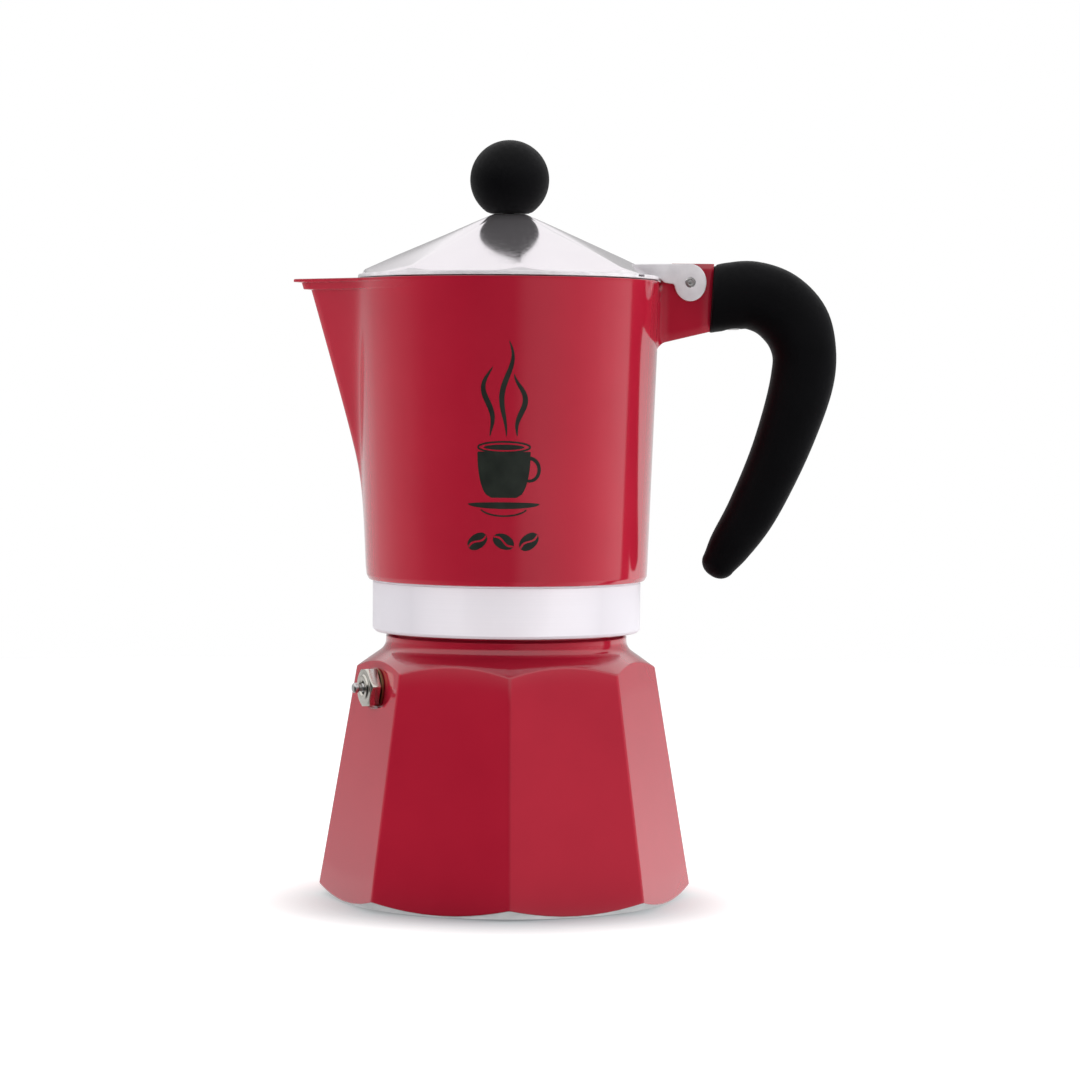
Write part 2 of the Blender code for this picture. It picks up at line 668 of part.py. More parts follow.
def make_handle(mat):
    """A hook swept along its middle line, with a socket for the tenon and a screw hole."""
    curve = smooth_path(HANDLE_PATH, 2)
    sections = []
    for i, (x, z, half_width, half_depth) in enumerate(curve):
        before = curve[max(i - 1, 0)]
        after = curve[min(i + 1, len(curve) - 1)]
        along = Vector((after[0] - before[0], after[1] - before[1])).normalized()
        across = HANDLE_START.normalized() if i == 0 else Vector((-along[1], along[0]))
        sections.append(handle_ring(x, z, across, half_width, half_depth))
    # The tip closes in two steps round its end.
    last = Vector(curve[-1][:2])
    heading = (last - Vector(curve[-2][:2])).normalized()
    end_ring = sections[-1]
    for reach, share in HANDLE_TIP:
        middle = last + heading * reach
        ring = []
        for x, y, z in end_ring:
            out_x = middle[0] + (x - last[0]) * share
            out_z = middle[1] + (z - last[1]) * share
            ring.append((out_x, y * share, out_z))
        sections.append(ring)
    handle = loft("handle", sections, mat)

    socket_x = (TENON[0] - 2, TENON[1] + SOCKET_GAP)
    socket_z = (TENON[3] - SOCKET_GAP, TENON[4] + SOCKET_GAP)
    socket = block("socket", socket_x, TENON[2] + SOCKET_GAP, socket_z)
    combine(handle, socket, "DIFFERENCE")
    bore = HANDLE_SCREW_HEAD[0] + GAP
    hole = HANDLE_SCREW[0] + GAP
    outline = [(0, HANDLE_HEAD_SEAT - THROUGH), (bore, HANDLE_HEAD_SEAT - THROUGH)]
    outline += [(bore, HANDLE_HEAD_SEAT), (hole, HANDLE_HEAD_SEAT)]
    outline += [(hole, HANDLE_HEAD_SEAT + THROUGH), (0, HANDLE_HEAD_SEAT + THROUGH)]
    screw_hole = turned("handle_screw_hole", outline, steps=SMALL_ROUND)
    screw_hole.location.x = HANDLE_SCREW_X * MM
    combine(handle, screw_hole, "DIFFERENCE")


def make_handle_screw(mat):
    head, foot = HANDLE_SCREW_HEAD
    shank, top = HANDLE_SCREW
    head_top = HANDLE_HEAD_SEAT - GAP
    outline = [(0, foot), (head - 0.5, foot), (head, foot + 0.4), (head, head_top)]
    outline += [(shank, head_top), (shank, top), (0, top)]
    screw = turned("handle_screw", outline, mat, steps=SMALL_ROUND)
    screw.location.x = HANDLE_SCREW_X * MM


# ---------------------------------------------------------------- the pot

def make_pot():
    clear_scene()
    red = material("red_enamel", (0.38, 0.006, 0.012), 0.18, 0.0)
    bare = material("bare_aluminium", (0.86, 0.86, 0.88), 0.3, 1.0)
    black = material("soft_black", (0.012, 0.012, 0.013), 0.6, 0.0)
    steel = material("steel", (0.62, 0.62, 0.63), 0.25, 1.0)
    plated = material("plated_brass", (0.72, 0.7, 0.66), 0.3, 1.0)
    brass = material("brass", (0.75, 0.5, 0.25), 0.35, 1.0)
    rubber = material("white_rubber", (0.75, 0.74, 0.7), 0.7, 0.0)

    boiler = make_boiler(red)
    place = valve_place()
    cut_valve_seat(boiler, place)
    make_valve(place, plated, brass, steel, rubber)
    make_funnel(bare)
    make_disc("funnel_screen", SCREEN, SCREEN_REACH, bare)
    make_gasket(rubber)
    make_disc("filter_plate", PLATE, PLATE_REACH, bare)
    make_collector(red)
    hinge = axis_empty("lid_axis", HINGE)
    make_lid(bare, hinge)
    make_knob(black, steel, hinge)
    make_hinge_pin(steel, hinge)
    make_handle(black)
    make_handle_screw(steel)


make_pot()
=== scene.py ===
"""Looks of the moka pot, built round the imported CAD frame.

Sizes below are millimetres in the row frame: Z is the pot's axis, z = 0 is the face it stands on,
the handle points to +X and the spout to -X. The camera looks along +Y.
"""

import json
from math import asin, atan2, copysign, cos, degrees, pi, radians, sin, sqrt, tan

import bmesh
import bpy
from mathutils import Matrix, Vector


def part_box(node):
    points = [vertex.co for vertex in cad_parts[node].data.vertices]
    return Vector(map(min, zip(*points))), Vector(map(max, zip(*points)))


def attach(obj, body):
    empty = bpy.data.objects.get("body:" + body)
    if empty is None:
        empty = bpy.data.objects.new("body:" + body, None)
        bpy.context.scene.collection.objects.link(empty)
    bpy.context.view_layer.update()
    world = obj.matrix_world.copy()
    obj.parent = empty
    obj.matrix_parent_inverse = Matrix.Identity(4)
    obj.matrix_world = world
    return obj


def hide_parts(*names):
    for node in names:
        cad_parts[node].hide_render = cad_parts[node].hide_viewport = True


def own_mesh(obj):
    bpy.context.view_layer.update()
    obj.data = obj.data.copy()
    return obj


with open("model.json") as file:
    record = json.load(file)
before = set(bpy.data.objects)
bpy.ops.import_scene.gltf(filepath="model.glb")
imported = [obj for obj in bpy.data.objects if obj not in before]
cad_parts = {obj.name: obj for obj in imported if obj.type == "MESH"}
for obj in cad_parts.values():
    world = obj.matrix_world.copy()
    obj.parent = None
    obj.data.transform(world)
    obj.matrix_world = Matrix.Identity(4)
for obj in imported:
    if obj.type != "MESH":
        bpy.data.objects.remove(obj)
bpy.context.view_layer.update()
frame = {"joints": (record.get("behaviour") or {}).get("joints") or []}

MM = 0.001
JOINTS = {joint["name"]: joint for joint in frame["joints"]}


def low(node):
    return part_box(node)[0] / MM


def high(node):
    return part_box(node)[1] / MM


# ---- sizes

# Boiler: an octagon of ridges under a conical shoulder and a threaded neck
SIDES = 8
HALF_SIDE = pi / SIDES
BOILER_TURN = radians(1.4)
RIDGE_TOP = (42.75, 64.9)
RIDGE_FOOT = (53.2, 2.6)
RIDGE_ROUND = 1.7
BASE_FACE_RADIUS = 48.6
CHAMFER_SLOPE = 6.4 / 4.3  # radius gained for each millimetre of height
SHOULDER_HIGH = (35.95, 69.96)
SHOULDER_SLOPE = 19.05 / 13.26  # radius lost for each millimetre of height
NECK_RADIUS = 34.3
NECK_BORE = 31.5
BOILER_WALL = 3.4
BOILER_FLOOR = 3.6
BOILER_TOP = high("boiler").z

# Screw thread
PITCH = 3.5
MALE_ROOT = 33.3
FEMALE_ROOT = 35.2

# Safety valve
VALVE_AXIS = Vector(JOINTS["valve_lift"]["axis"])
VALVE_TURN = atan2(VALVE_AXIS.y, VALVE_AXIS.x)
VALVE_FACE = 39.3
VALVE_HEIGHT = (low("valve_body").z + high("valve_body").z) / 2
HEX_RADIUS = 6.0
HEX_TURN = radians(24)

# Collector
BAND_FOOT = low("collector").z
BAND_TOP = BAND_FOOT + 14.5
BAND_RADIUS = 38.15
BODY_FOOT = (39.95, 91.5)
RIM_TOP = 175.2
BODY_TOP = (43.0, RIM_TOP)
CAVITY_FOOT = (37.9, 96.0)
CAVITY_TOP = (41.0, RIM_TOP)
COLUMN_TOP = 152.5
COLUMN_BORE = 3.4
SPOUT_HALF_ANGLE = radians(38)
SPOUT_LOW = (40.8, 119.0)
SPOUT_STEP = (56.1, 172.2)
SPOUT_TIP = -low("collector").x
CREASE_BLEND = 2.4
LID_TURN = radians(4.5)  # how far a ridge stands from the handle's direction
LID_SWELL = 0.45  # how far a facet of the lid stands out in its middle
LID_BEAD = 176.6  # height of the bead round the lid's edge
BRACKET_HALF = 4.5
BRACKET_TOP = high("collector").z

# Lid and hinge
HINGE = Vector(JOINTS["lid_hinge"]["pos_m"]) / MM
LID_FOOT = 175.5
LID_RIM = 42.9
LID_RIDGE_AT_RIM = 177.3
LID_FLAT = (6.0, 194.0)
LID_SLOPE = (LID_FLAT[1] - LID_RIDGE_AT_RIM) / (LID_RIM - LID_FLAT[0])
LID_DROP = 1.68
LID_EDGE_ROWS = range(23, 41)  # rows of the lid's mesh that make its satin rim
EAR_FACES = (4.8, 6.6)
PIN_RADIUS = 1.25
PIN_HOLE = 1.45

# Knob and handle
KNOB_RADIUS = (high("knob").x - low("knob").x) / 2
KNOB_FOOT = low("knob").z
KNOB_CENTRE = high("knob").z - KNOB_RADIUS
HANDLE_SCREW_X = 63.5
HANDLE_PATH = [
    (57.6, 170.4, 9.5, 8.0),
    (63.0, 171.3, 9.6, 8.0),
    (69.3, 171.6, 9.7, 8.2),
    (76.3, 169.0, 9.9, 8.2),
    (81.8, 163.3, 9.8, 8.2),
    (84.2, 155.6, 9.1, 8.2),
    (83.7, 147.5, 9.0, 8.0),
    (80.9, 137.0, 8.5, 7.8),
    (76.2, 124.0, 7.8, 7.3),
    (69.7, 110.0, 7.1, 6.7),
    (63.7, 100.4, 6.1, 5.8),
    (60.5, 95.4, 4.9, 4.7),
]


# ---- mesh helpers

def lerp(a, b, t):
    return a + (b - a) * t


def clamp(value):
    return max(0.0, min(1.0, value))


def on_line(z, one, two):
    """The first coordinate, at height z, of the line through two (a, z) points."""
    return lerp(one[0], two[0], (z - one[1]) / (two[1] - one[1]))


def smooth_max(a, b, soft):
    return (a + b + sqrt((a - b) ** 2 + soft * soft)) / 2


def smooth_min(a, b, soft):
    return -smooth_max(-a, -b, soft)


def even(start, end, count):
    """count + 1 values from start to end."""
    return [lerp(start, end, i / count) for i in range(count + 1)]


def even_steps(start, end, step):
    return even(start, end, max(1, round(abs(end - start) / step)))


def around(count):
    """count even angles all the way round."""
    return [2 * pi * i / count for i in range(count)]


def polar(radius, angle, z):
    return (radius * cos(angle), radius * sin(angle), z)


def oval(centre, reach, start, end, steps):
    """Points along an arc of an ellipse with half widths reach, angles in degrees."""
    turn = [radians(a) for a in even(start, end, steps)]
    return [(centre[0] + reach[0] * cos(a), centre[1] + reach[1] * sin(a)) for a in turn]


def rounded(corners, steps=3):
    """Replaces each (a, b, radius) corner of an open outline by a curve of steps + 1 points."""
    outline = []
    last = len(corners) - 1
    for i, (a, b, radius) in enumerate(corners):
        here = Vector((a, b))
        if radius == 0 or i in (0, last):
            outline.append((a, b))
            continue
        before = Vector(corners[i - 1][:2]) - here
        after = Vector(corners[i + 1][:2]) - here
        reach = radius * tan((pi - before.angle(after, pi)) / 2)
        reach = min(reach, 0.48 * before.length, 0.48 * after.length)
        one = here + before.normalized() * reach
        two = here + after.normalized() * reach
        for k in range(steps + 1):
            t = k / steps
            point = one * (1 - t) ** 2 + here * 2 * t * (1 - t) + two * t ** 2
            outline.append(tuple(point))
    return outline


def new_piece(name, points, faces, mats, zones=None, sharp=32.0):
    """A mesh object from millimetre points. zones gives each face's material number."""
    mesh = bpy.data.meshes.new(name)
    mesh.from_pydata([Vector(p) * MM for p in points], [], faces)
    for mat in mats:
        mesh.materials.append(mat)
    if zones:
        mesh.polygons.foreach_set("material_index", zones)
    tidy_mesh(mesh, sharp)
    return in_scene(name, mesh)


def in_scene(name, data):
    obj = bpy.data.objects.new(name, data)
    bpy.context.scene.collection.objects.link(obj)
    return obj


def tidy_mesh(mesh, sharp):
    bm = bmesh.new()
    bm.from_mesh(mesh)
    bmesh.ops.remove_doubles(bm, verts=bm.verts, dist=2e-7)
    bmesh.ops.dissolve_degenerate(bm, edges=bm.edges, dist=1e-7)
    bmesh.ops.recalc_face_normals(bm, faces=bm.faces)
    bm.to_mesh(mesh)
    bm.free()
    mesh.shade_smooth()
    mesh.set_sharp_from_angle(angle=radians(sharp))


def sheet_of(columns, closed=False, wrap=True):
    """Quads between neighbouring columns of equally many points, and each quad's row."""
    rows = len(columns[0])
    points = [p for column in columns for p in column]
    faces = []
    row_of = []
    for c in range(len(columns) if wrap else len(columns) - 1):
        one = c * rows
        two = (c + 1) % len(columns) * rows
        for r in range(rows if closed else rows - 1):
            s = (r + 1) % rows
            faces.append((one + r, two + r, two + s, one + s))
            row_of.append(r)
    return points, faces, row_of


def turned(name, outline, mat, steps=96, along="Z", origin=(0, 0, 0)):
    """Turns a closed outline of (radius, height) points about an axis through origin."""
    columns = []
    for a in around(steps):
        column = []
        for radius, height in outline:
            u = radius * cos(a)
            v = radius * sin(a)
            point = {"X": (height, u, v), "Y": (v, height, u), "Z": (u, v, height)}[along]
            column.append(Vector(point) + Vector(origin))
        columns.append(column)
    points, faces, _ = sheet_of(columns, closed=True)
    return new_piece(name, points, faces, [mat])


class Solids:
    """Collects closed solids, which become one mesh."""

    def __init__(self):
        self.points = []
        self.faces = []

    def add(self, sections):
        """Joins closed sections of equally many points, with flat ends."""
        points, faces, _ = sheet_of(sections, closed=True, wrap=False)
        count = len(sections[0])
        faces += [tuple(range(count)), tuple(range(len(points) - count, len(points)))]
        first = len(self.points)
        self.points += points
        self.faces += [tuple(first + i for i in face) for face in faces]


def loft(name, sections, mat, sharp=32.0):
    solids = Solids()
    solids.add(sections)
    return new_piece(name, solids.points, solids.faces, [mat], sharp=sharp)


def prism_y(name, outline, half, mat):
    """Extrudes an outline of (x, z) points from y = -half to y = half."""
    return loft(name, [[(x, y, z) for x, z in outline] for y in (-half, half)], mat)


def block(name, x, z, half, mat):
    """A box over the spans x and z, from y = -half to y = half."""
    return prism_y(name, box_outline(x, z), half, mat)


def box_outline(x, z):
    return [(x[0], z[0]), (x[1], z[0]), (x[1], z[1]), (x[0], z[1])]


def rod(name, radius, ends, mat, steps=40, along="Z", origin=(0, 0, 0)):
    """A plain cylinder, to cut a hole with."""
    return turned(name, box_outline((0, radius), ends), mat, steps, along, origin)


def apply_modifiers(obj, sharp):
    graph = bpy.context.evaluated_depsgraph_get()
    mesh = bpy.data.meshes.new_from_object(obj.evaluated_get(graph))
    obj.modifiers.clear()
    obj.data = mesh
    tidy_mesh(mesh, sharp)


def carve(obj, *cutters):
    for cutter in cutters:
        mod = obj.modifiers.new("carve", "BOOLEAN")
        mod.operation = "DIFFERENCE"
        mod.solver = "EXACT"
        mod.object = cutter
        apply_modifiers(obj, 32.0)
        bpy.data.objects.remove(cutter)


def soften(obj, width, segments=2, angle=35.0):
    """Rounds every edge sharper than angle."""
    mod = obj.modifiers.new("soften", "BEVEL")
    mod.width = width * MM
    mod.segments = segments
    mod.limit_method = "ANGLE"
    mod.angle_limit = radians(angle)
    apply_modifiers(obj, 45.0)


def place_at(obj, matrix):
    obj.data.transform(matrix)
    return obj


def valve_frame():
    """Matrix from the valve's own frame, with X along its axis, to the row frame."""
    spot = Vector(polar(VALVE_FACE, VALVE_TURN, VALVE_HEIGHT)) * MM
    return Matrix.Translation(spot) @ Matrix.Rotation(VALVE_TURN, 4, "Z")


def at_valve(obj):
    return place_at(obj, valve_frame())


def finish_piece(obj, body, slot, *nodes):
    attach(obj, body)
    if nodes:
        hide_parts(*nodes)


# ---- materials

class Nodes:
    """Adds shader nodes to a node tree."""

    def __init__(self, tree):
        self.tree = tree

    def node(self, kind, inputs=(), **settings):
        made = self.tree.nodes.new("ShaderNode" + kind)
        for key, value in settings.items():
            setattr(made, key, value)
        for key, value in dict(inputs).items():
            self.feed(made.inputs[key], value)
        return made

    def feed(self, socket, value):
        if isinstance(value, bpy.types.NodeSocket):
            self.tree.links.new(value, socket)
        else:
            socket.default_value = value

    def span(self, value, low_in, high_in, low_out, high_out, **settings):
        inputs = {"Value": value, "From Min": low_in, "From Max": high_in,
                  "To Min": low_out, "To Max": high_out}
        return self.node("MapRange", inputs, **settings).outputs[0]

    def mix(self, factor, one, two):
        # Sockets 6, 7 and 2 are the colour ones of a Mix node.
        return self.node("Mix", {0: factor, 6: one, 7: two}, data_type="RGBA").outputs[2]


class Finish(Nodes):
    """A Principled material with helpers for procedural colour, roughness and bump."""

    def __init__(self, name, **sockets):
        self.mat = bpy.data.materials.new(name)
        self.mat.use_nodes = True
        super().__init__(self.mat.node_tree)
        self.shader = self.tree.nodes["Principled BSDF"]
        for socket, value in sockets.items():
            self.drive(socket.replace("_", " "), value)
        self.place = self.node("TexCoord").outputs["Object"]

    def noise(self, scale, detail=2.0, stretch=(1, 1, 1)):
        """Noise from 0 to 1. scale is in features per metre, and stretch multiplies each axis."""
        mapped = self.node("Mapping", {"Vector": self.place, "Scale": stretch}).outputs[0]
        inputs = {"Vector": mapped, "Scale": scale, "Detail": detail}
        return self.node("TexNoise", inputs).outputs["Fac"]

    def tone(self, scale, detail, one, two, low_in=0.3, high_in=0.7):
        """A colour that drifts between two."""
        drift = self.span(self.noise(scale, detail), low_in, high_in, 0, 1)
        return self.mix(drift, rgba(*one), rgba(*two))

    def drive(self, socket, value):
        self.feed(self.shader.inputs[socket], value)

    def gloss(self, scale, detail, smooth, rough):
        self.drive("Roughness", self.span(self.noise(scale, detail), 0.3, 0.7, smooth, rough))

    def bump(self, *layers):
        """Each layer is (height, distance in millimetres, strength)."""
        inputs = {}
        for height, distance, strength in layers:
            inputs.update({"Height": height, "Distance": distance * MM, "Strength": strength})
            inputs["Normal"] = self.node("Bump", inputs).outputs[0]
        self.drive("Normal", inputs["Normal"])


def rgba(r, g, b):
    return (r, g, b, 1.0)


def grey(level):
    return rgba(level, level, level)


def red_enamel():
    """Baked enamel: deep red under a clear gloss, with a faint orange peel, and a painted highlight
    of lighter red along its sharp ridges.
    """
    f = Finish("red_enamel", Coat_Weight=0.75, Coat_Roughness=0.02, Coat_IOR=1.5, IOR=1.5)
    deep = f.tone(28, 3, (0.385, 0.0105, 0.030), (0.415, 0.0125, 0.033), 0.35, 0.65)
    # Painted highlight: sharp ridges and edges are coloured a lighter red.
    edges = f.span(f.node("NewGeometry").outputs["Pointiness"], 0.54, 0.66, 0, 1)
    f.drive("Base Color", f.mix(edges, deep, rgba(0.46, 0.017, 0.034)))
    f.gloss(70, 3, 0.10, 0.14)
    f.bump((f.noise(240, 1), 0.012, 0.08), (f.noise(1500, 2), 0.004, 0.06))
    return f.mat


def machined_band():
    """Turned aluminium: fine lines run round the pot, and its colour is painted darker where it
    turns away from the eye, as painted shade.
    """
    f = Finish("machined_band", Metallic=0.06, Specular_IOR_Level=0.2)
    lines = f.noise(1.0, 3, (6, 6, 5200))
    tone = f.mix(f.span(f.noise(1.0, 3, (60, 60, 30)), 0.35, 0.65, 0, 1),
                 rgba(0.91, 0.87, 0.92), rgba(0.95, 0.91, 0.96))
    tone = f.mix(f.span(lines, 0.3, 0.7, 0, 0.35), tone, rgba(0.84, 0.81, 0.86))
    # Painted shade: the colour darkens where the surface turns away from the eye.
    grazing_shade = f.node("LayerWeight").outputs["Facing"]
    tone = f.mix(f.span(grazing_shade, 0.06, 0.3, 0, 1), tone, rgba(0.68, 0.655, 0.70))
    f.drive("Base Color", tone)
    f.drive("Roughness", f.span(lines, 0.3, 0.7, 0.36, 0.46))
    f.bump((lines, 0.012, 0.5))
    return f.mat


def brushed_lid():
    """Satin aluminium with a fine grain that breaks up what it mirrors."""
    f = Finish("brushed_lid", Metallic=0.9)
    grain = f.noise(2600, 3)
    tone = f.tone(45, 3, (0.88, 0.83, 0.87), (0.92, 0.87, 0.91))
    f.drive("Base Color", f.mix(f.span(grain, 0.35, 0.65, 0, 0.3), tone, rgba(0.80, 0.77, 0.81)))
    f.gloss(900, 3, 0.09, 0.17)
    f.bump((grain, 0.010, 0.35), (f.noise(500, 2), 0.015, 0.10))
    return f.mat


def studio_white():
    """The floor: white, with a painted shadow that makes it a little greyer where an object stands
    in front of the origin.
    """
    f = Finish("studio_white", Roughness=0.9, Specular_IOR_Level=0.1, Emission_Strength=0.5)
    away = f.node("VectorMath", {0: f.place, 1: (0.0, -0.014, 0.0)}, operation="DISTANCE")
    white = f.mix(f.noise(3, 2), grey(0.90), grey(0.93))
    # Painted shadow: the floor's colour and its glow darken near the pot's foot.
    near = f.span(away.outputs["Value"], 0.036, 0.068, 0.0, 1.0)
    f.drive("Base Color", f.mix(near, rgba(0.36, 0.39, 0.42), white))
    f.drive("Emission Color", f.mix(near, grey(0.3), grey(1)))
    return f.mat


def plain_finish(name, tone, gloss, bumps, **sockets):
    """tone and gloss are what Finish takes. Each bump is (scale, detail, distance, strength)."""
    f = Finish(name, **sockets)
    f.drive("Base Color", f.tone(*tone))
    f.gloss(*gloss)
    f.bump(*[(f.noise(scale, detail), distance, strength)
             for scale, detail, distance, strength in bumps])
    return f.mat


def machined_metal(name, dark, light, smooth, rough):
    """A metal that is a little duller in its grooves."""
    return plain_finish(name, (300, 4, dark, light), (1800, 3, smooth, rough),
                        [(1800, 3, 0.01, 0.25)], Metallic=1.0)


RED = red_enamel()
# The bare inside and underside of the castings
CAST = plain_finish(
    "cast_aluminium", (90, 5, (0.60, 0.60, 0.61), (0.76, 0.76, 0.77)), (700, 4, 0.34, 0.50),
    [(1400, 4, 0.03, 0.35), (160, 2, 0.05, 0.2)], Metallic=1.0)
BAND = machined_band()
LID = brushed_lid()
# The lid's rim and ears: fine-cast aluminium with a soft, even sheen
SATIN = plain_finish(
    "satin_edge", (260, 4, (0.80, 0.77, 0.80), (0.93, 0.90, 0.93)), (1100, 3, 0.34, 0.46),
    [(1900, 3, 0.02, 0.35), (420, 2, 0.02, 0.2)], Metallic=0.3)
SHEET = machined_metal("sheet_aluminium", (0.74, 0.73, 0.75), (0.86, 0.84, 0.86), 0.24, 0.36)
# Soft-touch plastic: a matt skin with a very fine grain
BLACK = plain_finish(
    "soft_black", (60, 3, (0.0012, 0.0012, 0.0018), (0.0026, 0.0026, 0.0034)),
    (800, 3, 0.50, 0.62), [(3800, 2, 0.02, 0.35), (140, 2, 0.03, 0.1)], IOR=1.45,
    Specular_IOR_Level=0.14, Sheen_Weight=0.03, Sheen_Roughness=0.4)
STEEL = machined_metal("steel", (0.58, 0.57, 0.57), (0.72, 0.71, 0.71), 0.26, 0.38)
PLATED = machined_metal("plated_brass", (0.66, 0.63, 0.57), (0.80, 0.77, 0.71), 0.14, 0.26)
BRASS = machined_metal("brass", (0.27, 0.18, 0.09), (0.40, 0.28, 0.15), 0.30, 0.45)
RUBBER = plain_finish(
    "white_rubber", (120, 4, (0.70, 0.69, 0.65), (0.82, 0.81, 0.77)), (1200, 3, 0.55, 0.72),
    [(2200, 3, 0.02, 0.3)], IOR=1.42, Subsurface_Weight=0.15, Subsurface_Scale=0.002)
# Screen-printed black with the slight unevenness of an ink film
INK = plain_finish("printed_ink", (220, 4, (0.010, 0.014, 0.011), (0.020, 0.026, 0.020)),
                   (1500, 3, 0.32, 0.45), [(2400, 2, 0.008, 0.3)], IOR=1.48)
WHITE = studio_white()


# ---- boiler

def facet_radius(ridge, off):
    """Radius of an octagon with rounded ridges, off being the angle from a facet's middle."""
    from_ridge = HALF_SIDE - abs(off)
    core = ridge - RIDGE_ROUND / cos(HALF_SIDE)
    start = atan2(RIDGE_ROUND * sin(HALF_SIDE), core + RIDGE_ROUND * cos(HALF_SIDE))
    if from_ridge >= start:
        return ridge * cos(HALF_SIDE) / cos(off)
    reach = core * sin(from_ridge)
    return core * cos(from_ridge) + sqrt(RIDGE_ROUND ** 2 - reach * reach)


def ridge_at(z):
    return on_line(z, RIDGE_FOOT, RIDGE_TOP)


def crossing(one, two, z_low, z_high):
    """Height between z_low and z_high where one(z) - two(z) changes sign."""
    sign = one(z_low) - two(z_low)
    for _ in range(40):
        z = (z_low + z_high) / 2
        if (one(z) - two(z)) * sign > 0:
            z_low = z
        else:
            z_high = z
    return z_low


def facet_angles():
    """Angles from a facet's middle, closer together towards its ridges."""
    from_ridge = [0.0, 0.25, 0.5, 0.75, 1.1, 2.0, 4.5, 8.0, 12.0, 17.0]
    left = [radians(d) - HALF_SIDE for d in from_ridge]
    return left + [0.0] + [-a for a in reversed(left[1:])]


def thread_rise(z, angle, foot, turns):
    """Height, from 0 to 1, of a right-hand thread at a point of its cylinder."""
    rise = 0.0
    for k in range(int(turns) + 1):
        along = (angle % (2 * pi)) / (2 * pi) + k
        if along > turns:
            continue
        away = abs(z - (foot + PITCH * along))
        ends = min(1.0, along / 0.08, (turns - along) / 0.08)
        rise = max(rise, clamp((1.1 - away) / 0.6) * ends)
    return rise


def boiler_column(angle, off):
    def facet(z):
        return facet_radius(ridge_at(z), off)

    def chamfer(z):
        return BASE_FACE_RADIUS + CHAMFER_SLOPE * z

    def shoulder(z):
        return SHOULDER_HIGH[0] + SHOULDER_SLOPE * (SHOULDER_HIGH[1] - z)

    foot = crossing(facet, chamfer, 0.0, 6.0)
    top = crossing(facet, shoulder, 50.0, 72.0)
    corners = [(0, 0, 0), (BASE_FACE_RADIUS, 0, 0.6), (facet(foot), foot, 0.9)]
    heights = even_steps(foot, top, 8.0)
    corners += [(facet(z), z, 0) for z in heights[1:8]]
    corners += [(facet(top), top, 0.9)]
    shoulder_arc = oval((38.3, 73.2), (4.0, 4.0), 234, 180, 7)
    middle = (facet(top) + shoulder_arc[0][0]) / 2
    corners += [(middle, SHOULDER_HIGH[1] - (middle - SHOULDER_HIGH[0]) / SHOULDER_SLOPE, 0)]
    corners += [(r, z, 0) for r, z in shoulder_arc]
    corners += [(NECK_RADIUS, 74.2, 0.3), (MALE_ROOT, 74.9, 0)]
    outline = rounded(corners)
    painted = len(outline) + 8  # the paint runs a little way up the thread

    for z in even_steps(75.1, BOILER_TOP - 1.0, 0.3):
        outline.append((MALE_ROOT + 0.85 * thread_rise(z, angle, 76.6, 1.75), z))
    outline += rounded([(MALE_ROOT, BOILER_TOP - 0.7, 0), (MALE_ROOT - 0.7, BOILER_TOP, 0.2),
                        (NECK_BORE + 0.5, BOILER_TOP, 0.2), (NECK_BORE, BOILER_TOP - 0.5, 0)])

    def hollow(z):
        wall = BOILER_WALL / cos(HALF_SIDE)
        under_shoulder = on_line(z, (34.6, 64.8), (45.5, 55.0))
        return min(45.5, facet_radius(ridge_at(z) - wall, off), under_shoulder)

    inner = [(NECK_BORE, 70.0, 1.5), (34.6, 64.8, 1.5)]
    inner += [(hollow(z), z, 0) for z in (62.5, 60.0, 57.5, 55.0, 50.0, 40.0, 28.0, 16.0, 7.0)]
    inner += [(42.8, BOILER_FLOOR, 2.5), (30.0, BOILER_FLOOR, 0), (0, BOILER_FLOOR, 0)]
    outline += rounded([(NECK_BORE, BOILER_TOP - 4.0, 0)] + inner)
    return outline, painted


def boiler_shell():
    columns = []
    for side in range(SIDES):
        middle = BOILER_TURN + (side + 0.5) * 2 * HALF_SIDE
        for off in facet_angles()[:-1]:
            angle = middle + off
            outline, painted = boiler_column(angle, off)
            columns.append([polar(r, angle, z) for r, z in outline])
    points, faces, row_of = sheet_of(columns)
    unpainted_rows = 6  # those of the underside
    zones = [0 if unpainted_rows <= row < painted else 1 for row in row_of]
    shell = new_piece("boiler_shell", points, faces, [RED, CAST], zones)
    cut_valve_seat(shell)
    finish_piece(shell, "base", "red_enamel", "boiler")


def cut_valve_seat(shell):
    """The flat oval under the valve's nut, and the hole for its shank."""
    ovals = [[(x, (12.5 + grow) * cos(a), (5.9 + grow) * sin(a)) for a in around(64)]
             for x, grow in ((0.0, -0.5), (0.35, 0.0), (10.0, 0.0))]
    spot = at_valve(loft("spot_face", ovals, RED))
    hole = at_valve(rod("valve_hole", 4.3, (-10, 5), CAST, along="X"))
    carve(shell, spot, hole)


boiler_shell()


# ---- collector

def spout_radius(nose, angle, blunt):
    """Radius of the spout's V in plan, for an angle counted from the spout's direction."""
    if abs(angle) > radians(48):
        return 0.0
    half = SPOUT_HALF_ANGLE
    side = (blunt * cos(half) + nose * sin(half)) / sin(abs(angle) + half)
    return smooth_min(side, nose / cos(angle), 0.5)


def nose_at(z, low_nose, step_nose):
    return on_line(z, (low_nose, SPOUT_LOW[1]), (step_nose, SPOUT_STEP[1]))


def body_radius(z):
    return on_line(z, BODY_FOOT, BODY_TOP)


def cavity_radius(z):
    return on_line(z, CAVITY_FOOT, CAVITY_TOP)


def outer_radius(z, nose, angle):
    return smooth_max(body_radius(z), spout_radius(nose, angle, 0.6), CREASE_BLEND)


def inner_radius(z, nose, angle):
    return smooth_max(cavity_radius(z), spout_radius(nose, angle, 0.4), CREASE_BLEND)


